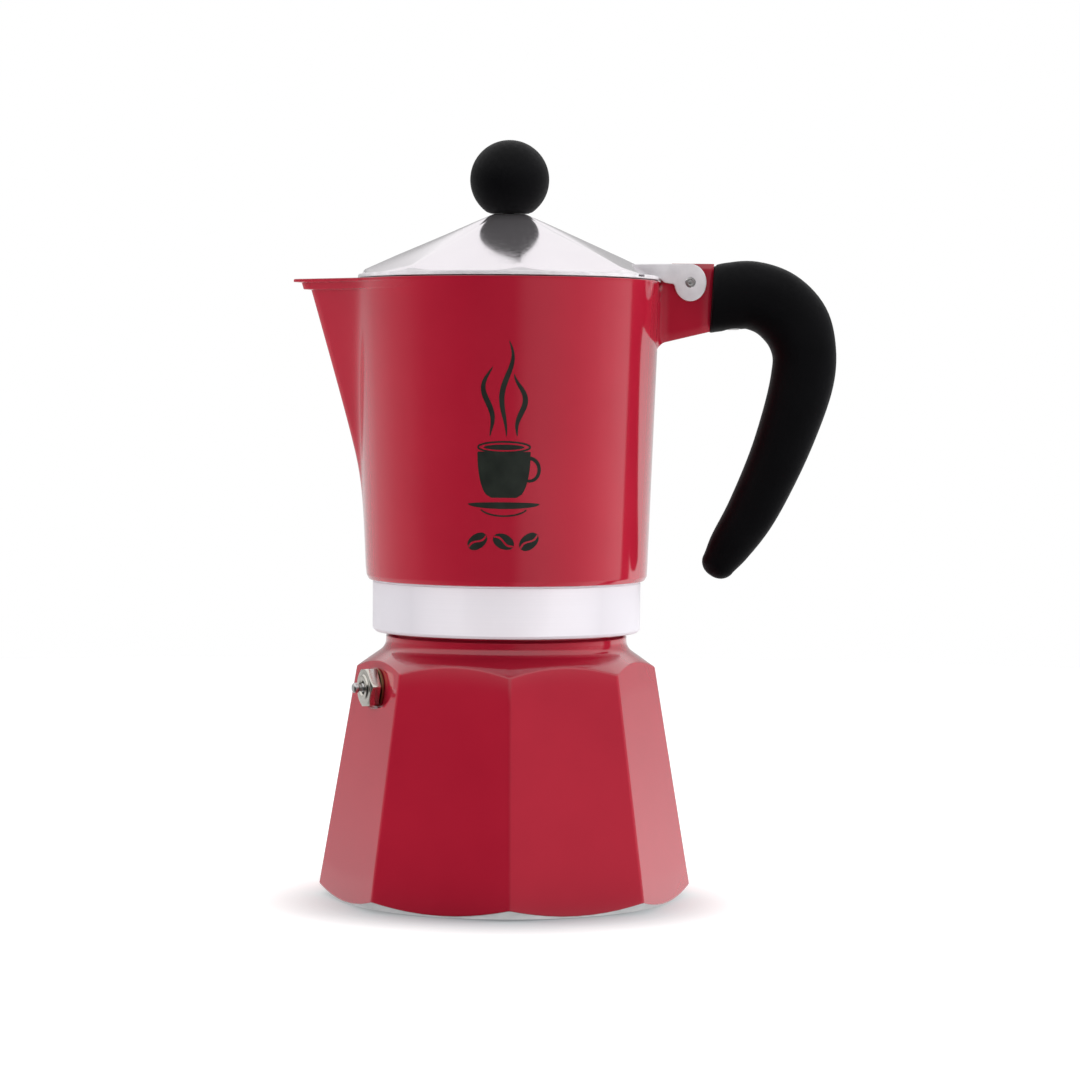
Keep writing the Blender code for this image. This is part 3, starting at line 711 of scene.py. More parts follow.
def band_outline(angle):
    """From the middle of the column's bore, under the collector and up its band, as (r, z)."""
    outline = rounded([
        (0, 149.1, 0), (COLUMN_BORE, 147.5, 0), (COLUMN_BORE, 146.5, 0), (COLUMN_BORE, 142.5, 0),
        (COLUMN_BORE, 95.0, 0.8), (6.0, 93.2, 1.0), (27.5, 89.8, 1.0), (36.2, 89.8, 0.3),
        (36.2, 85.2, 0.3), (FEMALE_ROOT, 84.9, 0)])
    for z in even_steps(84.5, BAND_FOOT + 0.9, 0.3):
        outline.append((FEMALE_ROOT - 0.55 * thread_rise(z, angle, 78.35, 1.5), z))
    outline += rounded([
        (FEMALE_ROOT, BAND_FOOT + 0.7, 0), (FEMALE_ROOT + 0.6, BAND_FOOT, 0.2),
        (BAND_RADIUS - 0.9, BAND_FOOT, 0.5), (BAND_RADIUS, BAND_FOOT + 0.9, 0.5),
        (BAND_RADIUS, 83.0, 0), (BAND_RADIUS, BAND_TOP - 0.5, 0.2),
        (BAND_RADIUS - 0.25, BAND_TOP - 0.15, 0.1), (BAND_RADIUS, BAND_TOP, 0)])
    return outline


def body_outline(angle):
    """The painted outside from the band to the rim, as (r, z)."""
    corners = [(BAND_RADIUS + 0.2, BAND_TOP + 0.02, 0), (BODY_FOOT[0] - 0.7, BAND_TOP + 0.25, 0.5),
               (BODY_FOOT[0], BODY_FOOT[1], 0.8)]
    for z in even_steps(94.0, SPOUT_STEP[1] - 0.4, 2.4):
        corners.append((outer_radius(z, nose_at(z, SPOUT_LOW[0], SPOUT_STEP[0]), angle), z, 0))
    tip = SPOUT_TIP - 0.05
    steps = [(172.1, 56.1, 0.15), (172.3, 58.3, 0.15), (174.15, 58.85, 0.15),
             (174.35, tip, 0.15), (RIM_TOP, tip, 0.3)]
    corners += [(outer_radius(z, nose, angle), z, soft) for z, nose, soft in steps]
    return corners


def cavity_outline(angle):
    """The bare inside, from the rim down and up the coffee column, as (r, z)."""
    corners = [(inner_radius(RIM_TOP, 57.2, angle), RIM_TOP, 0.3),
               (inner_radius(174.3, 56.2, angle), 174.3, 0.3)]
    for z in even_steps(172.0, 99.0, 4.8):
        corners.append((inner_radius(z, nose_at(z, 37.0, 53.2), angle), z, 0))
    corners += [(37.9, 96.0, 1.2), (36.0, 93.8, 1.0), (25.0, 95.2, 0), (14.0, 96.6, 2.0),
                (10.4, 99.5, 3.0), (6.15, 142.5, 0), (6.08, 146.5, 0), (6.0, 148.5, 1.0),
                (4.4, 151.7, 0.8), (0, COLUMN_TOP, 0)]
    return corners


def collector_angles():
    """Angles from the spout's direction, close together where the spout grows out of the body."""
    near = even_steps(0.0, 28.0, 1.0)
    far = even_steps(28.0, 180.0, 4.0)[1:]
    half = [radians(d) for d in near + far]
    return half + [-a for a in reversed(half[1:-1])]


def collector_shell():
    columns = []
    for angle in collector_angles():
        whole = pi + angle
        band = band_outline(whole)
        outline = band + rounded(body_outline(angle) + cavity_outline(angle))
        columns.append([polar(r, whole, z) for r, z in outline])
    painted_from = len(band) - 1
    painted_to = painted_from + len(rounded(body_outline(0.0))) + 3
    points, faces, row_of = sheet_of(columns)
    band_rows = 14  # the last rows of the band's outline

    def zone(row):
        if painted_from <= row < painted_to:
            return 0
        return 2 if painted_from - band_rows <= row < painted_from else 1

    zones = [zone(row) for row in row_of]
    shell = new_piece("collector_shell", points, faces, [RED, CAST, BAND], zones)
    carve(shell, block("column_outlet", (-1.5, 1.5), (142.5, 146.5), 12, CAST))
    finish_piece(shell, "top", "red_enamel", "collector")


collector_shell()


def bracket():
    """The hinge bracket, which flares into the body, and the tenon for the handle."""
    root = 41.5
    flare = 3.4
    flare_end = 45.1
    edge = 0.5
    shares = [0.0, 0.02, 0.04, 0.07, 0.10, 0.14, 0.18, 0.22, 0.28, 0.4, 0.6, 0.8, 0.94, 0.975, 1.0]
    sections = []
    for share in shares:
        x_middle = lerp(root, 57.4, share)
        top = 173.2 if x_middle < 42.0 else min(BRACKET_TOP, 173.2 + (x_middle - 42.0) * 2.0)
        bottom = lerp(157.6, 161.0, (x_middle - 42.6) / (57.0 - 42.6))
        bottom -= 2.2 * max(0.0, 1 - (x_middle - root) / 3.0) ** 2
        inset = max(0.0, (share - 0.94) / 0.06) ** 2 * edge
        reach = min(flare, max(0.0, flare_end - x_middle))
        grown = flare - sqrt(flare * flare - reach * reach)
        side = []
        for z in even(bottom, top, 16):
            near_end = min(z - bottom, top - z, edge)
            round_in = edge - sqrt(max(0.0, edge ** 2 - (edge - near_end) ** 2))
            half = BRACKET_HALF + grown * clamp((174.2 - z) / 2.5) - round_in - inset
            end = on_line(z, (57.0, 161.0), (58.1, BRACKET_TOP))
            side.append((lerp(root, end, share), half, z))
        sections.append(side + [(x, -y, z) for x, y, z in reversed(side)])
    casting = loft("bracket", sections, RED)
    carve(casting, rod("bracket_hole", PIN_HOLE, (-9, 9), CAST, along="Y", origin=HINGE))
    finish_piece(casting, "top", "red_enamel", "collector")

    tenon = block("tenon", (55.0, 69.0), (165.5, 176.5), 2.4, CAST)
    soften(tenon, 0.4)
    carve(tenon, rod("tenon_hole", 1.55, (160, 174.4), CAST, 32, origin=(HANDLE_SCREW_X, 0, 0)))
    finish_piece(tenon, "top", "bare_aluminium", "collector")


bracket()


# ---- lid and hinge

def facet_heights(radius, angle, flat):
    """Heights of the two nearest facet planes of the lid over a point."""
    heights = []
    nearest = angle // (2 * HALF_SIDE)
    for side in (nearest - 1, nearest, nearest + 1):
        middle = (side + 0.5) * 2 * HALF_SIDE
        across = radius * cos(angle - middle) / cos(HALF_SIDE)
        heights.append(flat - LID_SLOPE * (across - LID_FLAT[0]))
    return sorted(heights)[:2]


def lid_height(radius, angle, flat):
    """Height of the pyramid, whose facets swell a little and whose ridges are softer inwards."""
    soft = lerp(1.1, 0.3, clamp((radius - 18.0) / 14.0))
    one, two = facet_heights(radius, angle, flat)
    across = (angle % (2 * HALF_SIDE) - HALF_SIDE) / HALF_SIDE
    rise = clamp((radius - LID_FLAT[0]) / 18.0)
    fall = clamp((LID_RIM - 1.5 - radius) / 18.0)
    swell = LID_SWELL * (1 - across * across) * rise * (2 - rise) * fall * (2 - fall)
    return smooth_min(smooth_min(one, two, soft) + swell, flat + 0.02, 0.08)


def lid_angles():
    """Angles for one facet from ridge to ridge, closer together at the ridges."""
    from_ridge = [0.0, 0.3, 0.7, 1.2, 2.0, 3.5, 6.0, 10.0, 16.0, 22.5]
    left = [radians(d) for d in from_ridge]
    return left + [2 * HALF_SIDE - a for a in reversed(left[1:-1])]


def lid_column(angle):
    under = LID_FLAT[1] - LID_DROP
    hole = 1.9
    rim = LID_RIM - 0.02
    corners = [(hole, LID_FLAT[1], 0), (3.5, LID_FLAT[1], 0)]
    corners += [(radius, lid_height(radius, angle, LID_FLAT[1]), 0)
                for radius in (4.8, 5.3, 5.8, 6.4, 7.0, 8.0, 10.0, 12.0, 14.0, 17.0, 20.0, 23.0,
                               26.0, 29.0, 32.0, 35.0, 37.5, 39.5)]
    # The facets run down to a flat bead of even height round the edge.
    bead = rim - 1.5
    corners += [
        (bead - 0.5, max(lid_height(bead - 0.5, angle, LID_FLAT[1]), LID_BEAD), 0.3),
        (bead, max(lid_height(bead, angle, LID_FLAT[1]) - 0.35, LID_BEAD - 0.1), 0.15),
        (bead + 0.35, LID_BEAD, 0.15), (rim - 0.2, LID_BEAD, 0.2), (rim, LID_BEAD - 0.3, 0.15),
        (rim, LID_FOOT + 0.15, 0.12), (rim - 0.15, LID_FOOT, 0)]
    slope = lid_height(20.0, angle, 0) - lid_height(21.0, angle, 0)
    inner = min(LID_RIM - 1.5, 20.0 + (lid_height(20.0, angle, under) - LID_FOOT - 0.3) / slope)
    corners += [(inner, LID_FOOT, 0.3), (inner - 0.2, lid_height(inner - 0.2, angle, under), 0.4)]
    corners += [(radius, lid_height(radius, angle, under), 0)
                for radius in (34.0, 28.0, 20.0, 12.0, 8.0, 6.0, 5.0)]
    corners += [(3.5, under, 0), (hole, under, 0)]
    return rounded(corners, 2)


def lid_shell():
    columns = []
    for side in range(SIDES):
        for step in lid_angles():
            angle = side * 2 * HALF_SIDE + step
            columns.append([polar(r, LID_TURN + angle, z) for r, z in lid_column(angle)])
    points, faces, row_of = sheet_of(columns, closed=True)
    zones = [1 if row in LID_EDGE_ROWS else 0 for row in row_of]
    shell = new_piece("lid_shell", points, faces, [LID, SATIN], zones)
    gap = block("hinge_gap", (42.4, 46.0), (170.0, 185.0), EAR_FACES[0], SATIN)
    notch = block("notch", (41.4, 45.0), (175.9, 176.7), 1.7, LID)
    carve(shell, gap, place_at(notch, Matrix.Rotation(radians(-30.5), 4, "Z")))
    finish_piece(shell, "lid_body", "bare_aluminium", "lid")


def lid_ears():
    """The two hinge plates and the arm that carries them, with rounded edges."""
    outline = [(34.5, 178.2), (40.5, 176.6), (43.1, 175.7), (43.9, 174.9), (45.6, 174.6)]
    outline += oval((45.9, 173.5), (1.1, 1.1), 95, 20, 4)[1:]
    outline += oval((HINGE.x, HINGE.z), (4.5, 5.25), 196, 450, 44)
    outline += [(44.0, 180.1), (34.5, 179.9)]
    arm = prism_y("lid_ears", outline, EAR_FACES[1], SATIN)
    carve(arm, block("ear_slot", (42.6, 60.0), (165.0, 185.0), EAR_FACES[0], SATIN))
    soften(arm, 0.28, 3, 30.0)
    carve(arm, rod("ear_hole", PIN_HOLE, (-9, 9), SATIN, along="Y", origin=HINGE))
    finish_piece(arm, "lid_body", "bare_aluminium", "lid")


def hinge_pin():
    end = EAR_FACES[1] + 0.28
    half = rounded([(0, end, 0), (0.45, end, 0.1), (0.6, end - 0.12, 0.1), (0.75, end, 0.1),
                    (PIN_RADIUS - 0.15, end, 0.15), (PIN_RADIUS, end - 0.25, 0)])
    outline = half + [(r, -y) for r, y in reversed(half)]
    pin = turned("pin", outline, STEEL, 48, "Y", HINGE)
    finish_piece(pin, "top", "steel", "hinge_pin")


# ---- knob

def knob():
    """A moulded ball with a narrow flat foot."""
    start = degrees(asin((KNOB_FOOT - KNOB_CENTRE) / KNOB_RADIUS))
    ball = oval((0, KNOB_CENTRE), (KNOB_RADIUS, KNOB_RADIUS), start, 90, 48)
    outline = [(1.8, KNOB_FOOT + 0.1), (ball[0][0] - 0.4, KNOB_FOOT)]
    outline += [(ball[0][0] - 0.05, KNOB_FOOT + 0.15)] + ball[1:-1]
    outline += [(0, KNOB_CENTRE + KNOB_RADIUS), (0, 201.5), (1.8, 200.8)]
    ball_piece = turned("knob_ball", outline, BLACK)
    finish_piece(ball_piece, "lid_body", "soft_black", "knob")

    top = LID_FLAT[1] - LID_DROP - 0.3
    head = [(0, top - 1.4, 0), (2.2, top - 1.4, 0.4), (3.2, top - 0.6, 0.2), (3.2, top, 0.1),
            (1.5, top, 0)]
    screw("knob_screw", "lid_body", head, (top + 0.3, 199.0), [(1.2, 199.9), (0, 200.0)],
          (1.7, top - 3.0, top - 0.75, 20))


def screw(node, body, head, thread, tip, slot, x=0.0):
    """A screw with a rounded head, a groove for each turn of its thread, and a cross slot.

    slot is (half its length, lowest point, highest point, turn in degrees).
    """
    outline = rounded(head)
    shank = head[-1][0]
    z = thread[0]
    while z < thread[1]:
        outline += [(shank, z), (shank - 0.22, z + 0.25), (shank, z + 0.5)]
        z += 0.5
    piece = turned(node + "_turned", outline + tip, STEEL, 48, "Z", (x, 0, 0))
    half, bottom, top, turn = slot
    for angle in (turn, turn + 90):
        bar = block("cross", (-half, half), (bottom, top), 0.35, STEEL)
        place = Matrix.Translation((x * MM, 0, 0))
        carve(piece, place_at(bar, place @ Matrix.Rotation(radians(angle), 4, "Z")))
    finish_piece(piece, body, "steel", node)


# ---- handle

def smooth_path(points, steps):
    """Catmull-Rom curve through the points, with steps spans between neighbours."""
    vectors = [Vector(p) for p in points]
    ends = [2 * vectors[0] - vectors[1]] + vectors + [2 * vectors[-1] - vectors[-2]]
    curve = []
    for i in range(1, len(ends) - 2):
        a, b, c, d = ends[i - 1:i + 3]
        for k in range(steps):
            t = k / steps
            blend = 2 * b + (c - a) * t
            blend += (2 * a - 5 * b + 4 * c - d) * t ** 2
            blend += (3 * b - a - 3 * c + d) * t ** 3
            curve.append(blend / 2)
    curve.append(vectors[-1])
    return curve


def heading(path, i):
    """Direction of a path at point i, by its first two coordinates."""
    before = Vector(path[max(i - 1, 0)][:2])
    after = Vector(path[min(i + 1, len(path) - 1)][:2])
    return (after - before).normalized()


def handle_ring(centre, across, half_width, half_depth):
    """A rounded square section: across points from the hook's inside to its outside."""
    ring = []
    for a in around(48):
        a += pi / 48
        u = copysign(abs(cos(a)) ** 0.8, cos(a)) * half_width
        v = copysign(abs(sin(a)) ** 0.8, sin(a)) * half_depth
        ring.append((centre[0] + across[0] * u, v, centre[1] + across[1] * u))
    return ring


def handle():
    """The moulded hook, with a small round at its front edge and a domed tip."""
    curve = smooth_path(HANDLE_PATH, 7)
    slant = Vector((1.1, 19.0)).normalized()
    sections = []
    x, z, half_width, half_depth = curve[0]
    for inset, along in ((0.45, 0.0), (0.2, 0.1), (0.05, 0.3), (0.0, 0.8)):
        sections.append(handle_ring((x + along, z), slant, half_width - inset, half_depth - inset))
    for i in range(2, len(curve)):
        x, z, half_width, half_depth = curve[i]
        along = heading(curve, i)
        across = slant.lerp(Vector((-along[1], along[0])), min(1.0, i / 7)).normalized()
        sections.append(handle_ring((x, z), across, half_width, half_depth))
    tip = Vector(curve[-1][:2])
    along = heading(curve, len(curve) - 1)
    across = Vector((-along[1], along[0]))
    for k in range(1, 9):
        a = radians(10 * k + 4)
        middle = tip + along * 4.35 * sin(a)
        shrink = cos(a) ** 0.9
        sections.append(handle_ring(middle, across, curve[-1][2] * shrink, curve[-1][3] * shrink))
    hook = loft("handle_hook", sections, BLACK)
    socket = block("socket", (54.0, 69.4), (165.1, 176.9), 2.8, BLACK)
    outline = [(0, 158), (2.9, 158), (2.9, 163.2), (1.6, 163.2), (1.6, 168), (0, 168)]
    screw_hole = turned("screw_hole", outline, BLACK, 48, "Z", (HANDLE_SCREW_X, 0, 0))
    carve(hook, socket, screw_hole)
    finish_piece(hook, "top", "soft_black", "handle")

    head = [(0, 161.9, 0), (1.9, 161.75, 0.4), (2.6, 162.2, 0.2), (2.6, 162.9, 0.1),
            (1.3, 162.9, 0)]
    screw("handle_screw", "top", head, (163.4, 172.5), [(0.9, 173.5), (0, 173.6)],
          (1.5, 161.0, 162.5, 35), HANDLE_SCREW_X)


lid_shell()
lid_ears()
hinge_pin()
knob()
handle()


# ---- safety valve

def hexagon_radius(angle):
    half = pi / 6
    off = (angle - HEX_TURN) % (2 * half) - half
    return smooth_min(HEX_RADIUS * cos(half) / cos(off), HEX_RADIUS - 0.04, 0.12)


def valve_body():
    """The hexagonal body with its chamfered face, raised ring and threaded shank."""
    face = 4.4
    foot = 1.1
    chamfer = (face - 3.7) / (6.2 - 5.0)
    columns = []
    for angle in around(120):
        across = hexagon_radius(pi / 2 - angle)
        cut = face - (across - 5.0) * chamfer
        corners = [(2.9, -6.6, 0), (3.7, -6.6, 0), (4.0, -6.3, 0)]
        for x in even_steps(-6.0, -0.6, 0.15):
            corners.append((3.98 - 0.3 * valve_thread(x, angle), x, 0))
        corners += [
            (4.0, -0.4, 0), (4.0, foot, 0.1), (across - 0.35, foot, 0.2),
            (across, foot + 0.35, 0.15), (across, (foot + cut) / 2, 0), (across, cut, 0.12),
            (5.0, face, 0.3), (3.75, face, 0.1), (3.45, face + 0.45, 0.15),
            (2.35, face + 0.5, 0.15), (1.85, face + 0.1, 0.2), (1.8, 3.2, 0), (2.9, 3.0, 0)]
        columns.append([(x, r * cos(angle), r * sin(angle)) for r, x in rounded(corners, 2)])
    points, faces, _ = sheet_of(columns, closed=True)
    body = at_valve(new_piece("valve_nut", points, faces, [PLATED]))
    finish_piece(body, "base", "plated_brass", "valve_body")


def valve_thread(x, angle):
    """Depth, from 0 to 1, of the shank's thread, which has a pitch of 1 mm."""
    return abs(2 * ((x - angle / (2 * pi)) % 1.0) - 1)


VALVE_TURNINGS = [
    ("valve_ring", BRASS, "base", "brass", "valve_washer",
     [(4.2, 0.55, 0), (4.2, 0.2, 0.1), (5.3, 0.2, 0.12), (5.3, 0.9, 0.12), (4.2, 0.9, 0.1),
      (4.2, 0.6, 0)]),
    ("valve_plunger", STEEL, "valve", "steel", "valve_stem",
     [(0, -5.0, 0), (2.5, -5.0, 0.15), (2.5, -4.2, 0.15), (1.3, -4.0, 0.2), (1.3, 4.7, 0.15),
      (1.0, 4.95, 0.15), (1.0, 5.95, 0.15), (1.45, 6.2, 0.12), (1.45, 7.25, 0.3),
      (1.0, 7.6, 0.15), (0, 7.6, 0)]),
    ("valve_disc", RUBBER, "valve", "white_rubber", "valve_seal",
     [(0, -5.9, 0), (2.4, -5.9, 0.15), (2.4, -5.3, 0.15), (0, -5.3, 0)]),
    ("valve_end_ring", BRASS, "base", "plated_brass", "valve_seat",
     [(1.2, -6.85, 0), (1.2, -7.5, 0.1), (3.7, -7.5, 0.15), (3.7, -6.9, 0.1), (2.6, -6.9, 0.1),
      (2.6, -6.2, 0.1), (1.2, -6.2, 0.1), (1.2, -6.8, 0)]),
]


def valve_small_parts():
    for name, mat, body, slot, node, corners in VALVE_TURNINGS:
        piece = turned(name, rounded(corners), mat, 64, "X")
        finish_piece(at_valve(piece), body, slot, node)


def valve_coil():
    """The spring, whose end turns lie closer together."""
    turns = 5.5
    sections = []
    for share in even(0, 1, 176):
        a = 2 * pi * turns * share
        eased = share - sin(2 * pi * share) / (2 * pi) * 0.55
        x = lerp(-3.55, 2.55, eased)
        ring = []
        for b in around(12):
            r = 2.1 + 0.3 * cos(b)
            ring.append((x + 0.3 * sin(b), r * cos(a), r * sin(a)))
        sections.append(ring)
    coil = at_valve(loft("valve_coil", sections, STEEL, sharp=60.0))
    finish_piece(coil, "base", "steel", "valve_spring")
    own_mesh(coil)


# ---- funnel, plate and gasket

def pins(name, rings, reach, radius, low_z, high_z):
    """Round pins in rings of 6, 12, 18 and so on round a middle one."""
    spots = [(0.0, 0.0, 0.0)]
    for ring in range(1, rings + 1):
        spots += [polar(reach * ring / rings, a, 0.0) for a in around(6 * ring)]
    solids = Solids()
    for x, y, _ in spots:
        solids.add([[(x + radius * cos(a), y + radius * sin(a), z) for a in around(10)]
                    for z in (low_z, high_z)])
    return new_piece(name, solids.points, solids.faces, [CAST])


def round_size(node):
    return high(node).x, low(node).z, high(node).z


def perforated_disc(name, node, body, rings, reach, hole, rise):
    """A punched disc with a rolled edge and a shallow ring pressed into it."""
    radius, bottom, top = round_size(node)
    corners = [
        (0, bottom, 0), (reach + 1.5, bottom, 0), (reach + 2.5, bottom + rise, 0.4),
        (radius - 0.6, bottom + rise, 0.2), (radius, (bottom + top) / 2, 0.15),
        (radius - 0.4, top, 0.1), (reach + 2.9, top, 0.3), (reach + 1.9, top - rise, 0.4),
        (0, top - rise, 0)]
    disc = turned(name, rounded(corners, 2), SHEET, 120)
    carve(disc, pins(name + "_pins", rings, reach, hole, bottom - 1, top + 1))
    finish_piece(disc, body, "bare_aluminium", node)


def funnel():
    rim = (BOILER_TOP + 0.3, BOILER_TOP + 0.8)
    outer = 30.9
    sheet = 0.8
    tube = 5.0
    corners = [
        (32.6, rim[0], 0), (33.4, rim[0] + 0.1, 0.15), (33.4, rim[1], 0.2),
        (outer - sheet, rim[1], 0.5), (outer - sheet, 61.2, 0.6), (28.0, 60.2, 0.8),
        (16.0, 57.1, 0), (tube - sheet, 54.0, 1.2), (tube - sheet, 4.6, 0), (tube, 4.6, 0),
        (tube, 30.0, 0), (tube, 53.2, 1.4), (16.0, 56.3, 0), (28.4, 59.4, 0.8), (outer, 60.4, 0.8),
        (outer, 83.0, 0), (outer, rim[0], 0.4)]
    body = turned("funnel_basket", rounded(corners, 4), SHEET, 120)
    finish_piece(body, "funnel_body", "bare_aluminium", "funnel")


def gasket():
    inner = 28.5
    outer, bottom, top = round_size("gasket")
    middle = (bottom + top) / 2
    corners = [
        (inner, middle, 0), (inner, bottom, 0.5), (31.5, bottom, 0.2), (31.8, bottom + 0.25, 0.2),
        (33.0, bottom + 0.25, 0.2), (33.3, bottom, 0.2), (outer, bottom, 0.6), (outer, top, 0.6),
        (inner, top, 0.5), (inner, middle + 0.1, 0)]
    ring = turned("rubber_gasket", rounded(corners, 3), RUBBER, 120)
    finish_piece(ring, "seal", "white_rubber", "gasket")


valve_body()
valve_small_parts()
valve_coil()
funnel()
perforated_disc("funnel_sieve", "funnel_screen", "funnel_body", 7, 26.0, 0.7, 0.0)
perforated_disc("filter_disc", "filter_plate", "seal", 6, 24.0, 0.8, 0.12)
gasket()


# ---- printed cup

PRINT_MIDDLE = -1.0  # along the surface from straight in front, towards the handle
PRINT_PROUD = 0.05
PRINT_DEEP = 0.06


def on_body(u, z, proud):
    angle = -pi / 2 + (PRINT_MIDDLE + u) / body_radius(z)
    return polar(body_radius(z) + proud, angle, z)


class Stencil(Solids):
    """Collects the closed, very thin solids that make up a print."""

    def patch(self, lower, upper, across=2):
        """Fills between two curves of equally many (u, z) points."""
        shares = even(0, 1, across)
        sections = []
        for one, two in zip(lower, upper):
            row = [(lerp(one[0], two[0], share), lerp(one[1], two[1], share)) for share in shares]
            sections.append([on_body(u, z, PRINT_PROUD) for u, z in row]
                            + [on_body(u, z, -PRINT_DEEP) for u, z in reversed(row)])
        self.add(sections)

    def stroke(self, path, widths):
        """A line of changing width along a path of (u, z) points."""
        lower = []
        upper = []
        for i, (u, z) in enumerate(path):
            across, down = heading(path, i) * widths[i] / 2
            lower.append((u - down, z + across))
            upper.append((u + down, z - across))
        self.patch(lower, upper)

    def lens(self, half, deep, z, over, steps):
        """An oval that reaches deep below z, and over times that above it."""
        wide = even(-half, half, steps)
        sag = [deep * sqrt(max(0.0, 1 - (u / (half + 0.05)) ** 2)) for u in wide]
        self.patch([(u, z - d) for u, d in zip(wide, sag)],
                   [(u, z + over * d) for u, d in zip(wide, sag)])


def cup_width(share):
    """Half width of the cup, from its foot (0) to its rim (1)."""
    return 3.4 + 3.9 * sqrt(max(0.0, 1 - (1 - share) ** 2.2))


def printed_cup():
    """A plain steaming cup on a saucer over three coffee beans."""
    stencil = Stencil()
    foot = 114.6
    rim = 127.2
    shares = even(0, 1, 14)
    stencil.patch([(-cup_width(share), lerp(foot, rim, share)) for share in shares],
                  [(cup_width(share), lerp(foot, rim, share)) for share in shares], 12)

    # The rim is an open ellipse, and the coffee a filled one inside it.
    stencil.stroke(oval((0, rim + 1.25), (7.15, 1.45), 0, 360, 40), [0.5] * 41)
    stencil.lens(5.6, 0.75, rim + 1.2, 1.0, 16)
    stencil.stroke(oval((7.0, 122.3), (2.7, 3.1), 112, -118, 20), even(1.1, 0.8, 20))

    # The saucer: a wide dish with a thin line under it.
    stencil.lens(9.9, 1.35, 112.9, 0.35, 24)
    stencil.stroke(oval((0, 112.2), (6.6, 2.6), 200, 340, 20), [0.45] * 21)

    # Steam: three rising curls that swell and taper.
    for start, height, lean, phase in ((-3.9, 19.0, -0.6, 0.0), (0.2, 26.0, 0.4, 2.1),
                                       (4.0, 17.0, 0.7, 4.0)):
        path = []
        widths = []
        for share in even(0, 1, 32):
            sway = (0.5 + 1.5 * share) * sin(phase + 7.0 * share)
            path.append((start + lean * share + sway, 131.4 + height * share))
            widths.append(0.15 + 1.35 * sin(pi * share) ** 0.8)
        stencil.stroke(path, widths)

    for middle, tilt in ((-7.2, 35), (0.0, -25), (7.0, 40)):
        printed_bean(stencil, middle, 102.6, radians(tilt))
    piece = new_piece("printed_cup", stencil.points, stencil.faces, [INK])
    finish_piece(piece, "top", "soft_black")


def printed_bean(stencil, middle_u, middle_z, tilt):
    """An oval in two halves on either side of a wavy crease."""
    long_half = 3.1
    short_half = 2.05
    gap = 0.28

    def place(u, z):
        return (middle_u + u * cos(tilt) - z * sin(tilt),
                middle_z + u * sin(tilt) + z * cos(tilt))

    for side in (-1, 1):
        crease = []
        edge = []
        for share in even(0, 1, 18):
            u = lerp(-long_half, long_half, share)
            full = short_half * sqrt(max(0.0, 1 - (u / long_half) ** 2))
            wave = 0.5 * sin(2 * pi * share)
            inner = min(max(wave + side * gap, -full), full)
            crease.append(place(u, inner))
            edge.append(place(u, side * full))
        stencil.patch(crease, edge)


printed_cup()


# ---- camera, light and floor

def camera():
    data = bpy.data.cameras.new("camera")
    data.sensor_width = 36.0
    data.lens = 113.33
    obj = in_scene("camera", data)
    spot = Vector((0.0, -0.969, 0.141))
    aim = Vector((0.0094, 0.0, 0.1015))
    turn = (aim - spot).to_track_quat("-Z", "Y").to_matrix().to_4x4()
    obj.matrix_world = Matrix.Translation(spot) @ turn @ Matrix.Rotation(radians(0.45), 4, "Z")
    bpy.context.scene.camera = obj


def area_light(name, spot, aim, size, power):
    """A soft panel that lights the pot but isn't mirrored in it."""
    data = bpy.data.lights.new(name, "AREA")
    data.shape = "RECTANGLE"
    data.size, data.size_y = size
    data.energy = power
    obj = in_scene(name, data)
    obj.location = spot
    obj.rotation_euler = (Vector(aim) - Vector(spot)).to_track_quat("-Z", "Y").to_euler()
    obj.visible_glossy = False


# Light from near the horizon: degrees round from the camera, towards the handle, and strength
LIGHT_ROUND = [
    (-180, 0.80), (-153, 0.62), (-133, 0.60), (-119, 0.52), (-108, 0.43), (-98, 0.32), (-80, 0.20),
    (-65, 0.07), (-37, 0.01), (4, 0.03), (14, 0.27), (27, 0.35), (54, 0.31), (68, 0.40), (84, 0.54),
    (93, 0.68), (106, 0.80), (108, 0.0), (118, 0.0), (120, 1.1), (142, 0.74), (180, 0.80),
]
OVERHEAD = 1.0
LOW_BAND = (0.24, 0.44)  # height of direction where the side light gives way to it
BELT = (-0.05, 0.04)  # height of direction where the side light weakens
BELT_STRENGTH = 0.6
DIFFUSE_SHARE = 0.42  # how much of the side light reaches matt surfaces


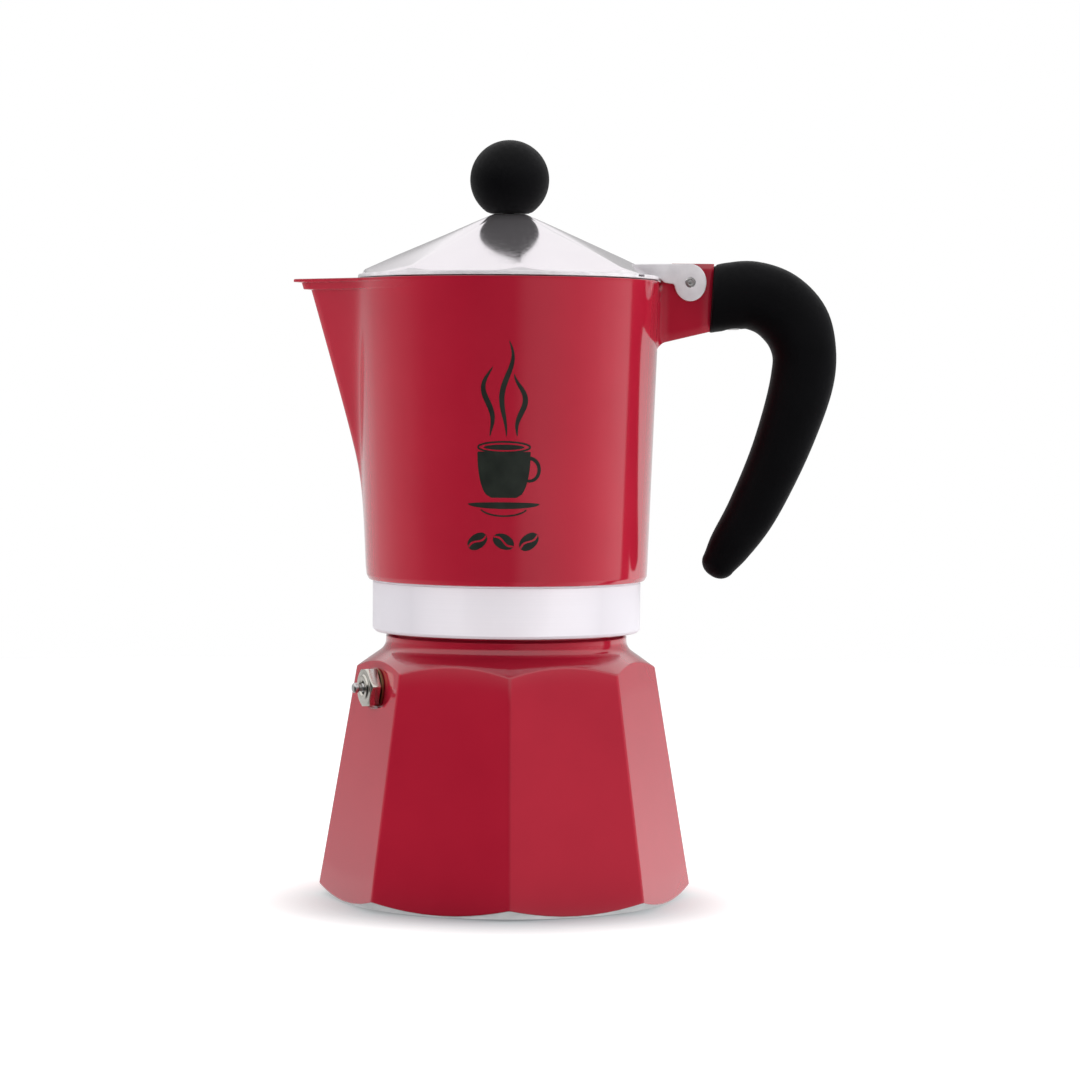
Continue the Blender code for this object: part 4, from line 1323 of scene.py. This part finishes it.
def world_light():
    """A white studio: plain white to the eye, and lit more from the sides and above."""
    world = bpy.data.worlds.new("studio")
    world.use_nodes = True
    bpy.context.scene.world = world
    n = Nodes(world.node_tree)
    seen = n.tree.nodes["Background"]
    seen.inputs["Color"].default_value = grey(1)
    way = n.node("SeparateXYZ", {0: n.node("TexCoord").outputs["Generated"]}).outputs
    away = n.node("Math", {0: way["Y"], 1: -1.0}, operation="MULTIPLY").outputs[0]
    turn = n.node("Math", {0: way["X"], 1: away}, operation="ARCTAN2").outputs[0]
    ramp = n.node("ValToRGB", {0: n.span(turn, -pi, pi, 0, 1)})
    steps = ramp.color_ramp.elements
    for bearing, strength in LIGHT_ROUND[1:-1]:
        steps.new((bearing + 180) / 360).color = grey(strength)
    steps[0].color = grey(LIGHT_ROUND[0][1])
    steps[-1].color = grey(LIGHT_ROUND[-1][1])
    rise = n.span(way["Z"], *LOW_BAND, 0, 1, interpolation_type="SMOOTHSTEP")
    belt = n.span(way["Z"], *BELT, 1, BELT_STRENGTH, interpolation_type="SMOOTHSTEP")
    side = n.node("VectorMath", {0: ramp.outputs[0], "Scale": belt}, operation="SCALE").outputs[0]
    ray = n.node("LightPath").outputs
    share = n.span(ray["Is Diffuse Ray"], 0, 1, 1, DIFFUSE_SHARE)
    lit = n.node("Background", {"Strength": share, "Color": n.mix(rise, side, grey(OVERHEAD))})
    pick = n.node("MixShader", {0: ray["Is Camera Ray"], 1: lit.outputs[0], 2: seen.outputs[0]})
    n.feed(n.tree.nodes["World Output"].inputs["Surface"], pick.outputs[0])


def studio_floor():
    ring = [polar(900, a, -0.05) for a in around(64)]
    obj = new_piece("floor", ring, [tuple(range(64))], [WHITE])
    obj.visible_glossy = False


camera()
world_light()
area_light("left_panel", (-1.0, 0.05, 0.25), (0, 0, 0.1), (0.7, 0.7), 5.6)
area_light("right_panel", (1.0, 0.05, 0.25), (0, 0, 0.1), (0.7, 0.7), 9.5)
area_light("front", (0.1, -1.4, 0.45), (0, 0, 0.1), (0.9, 0.5), 2.9)
area_light("over", (0.0, 0.15, 1.3), (0, 0, 0.0), (1.4, 1.4), 2.0)
studio_floor()
bpy.context.scene.view_settings.view_transform = "Standard"
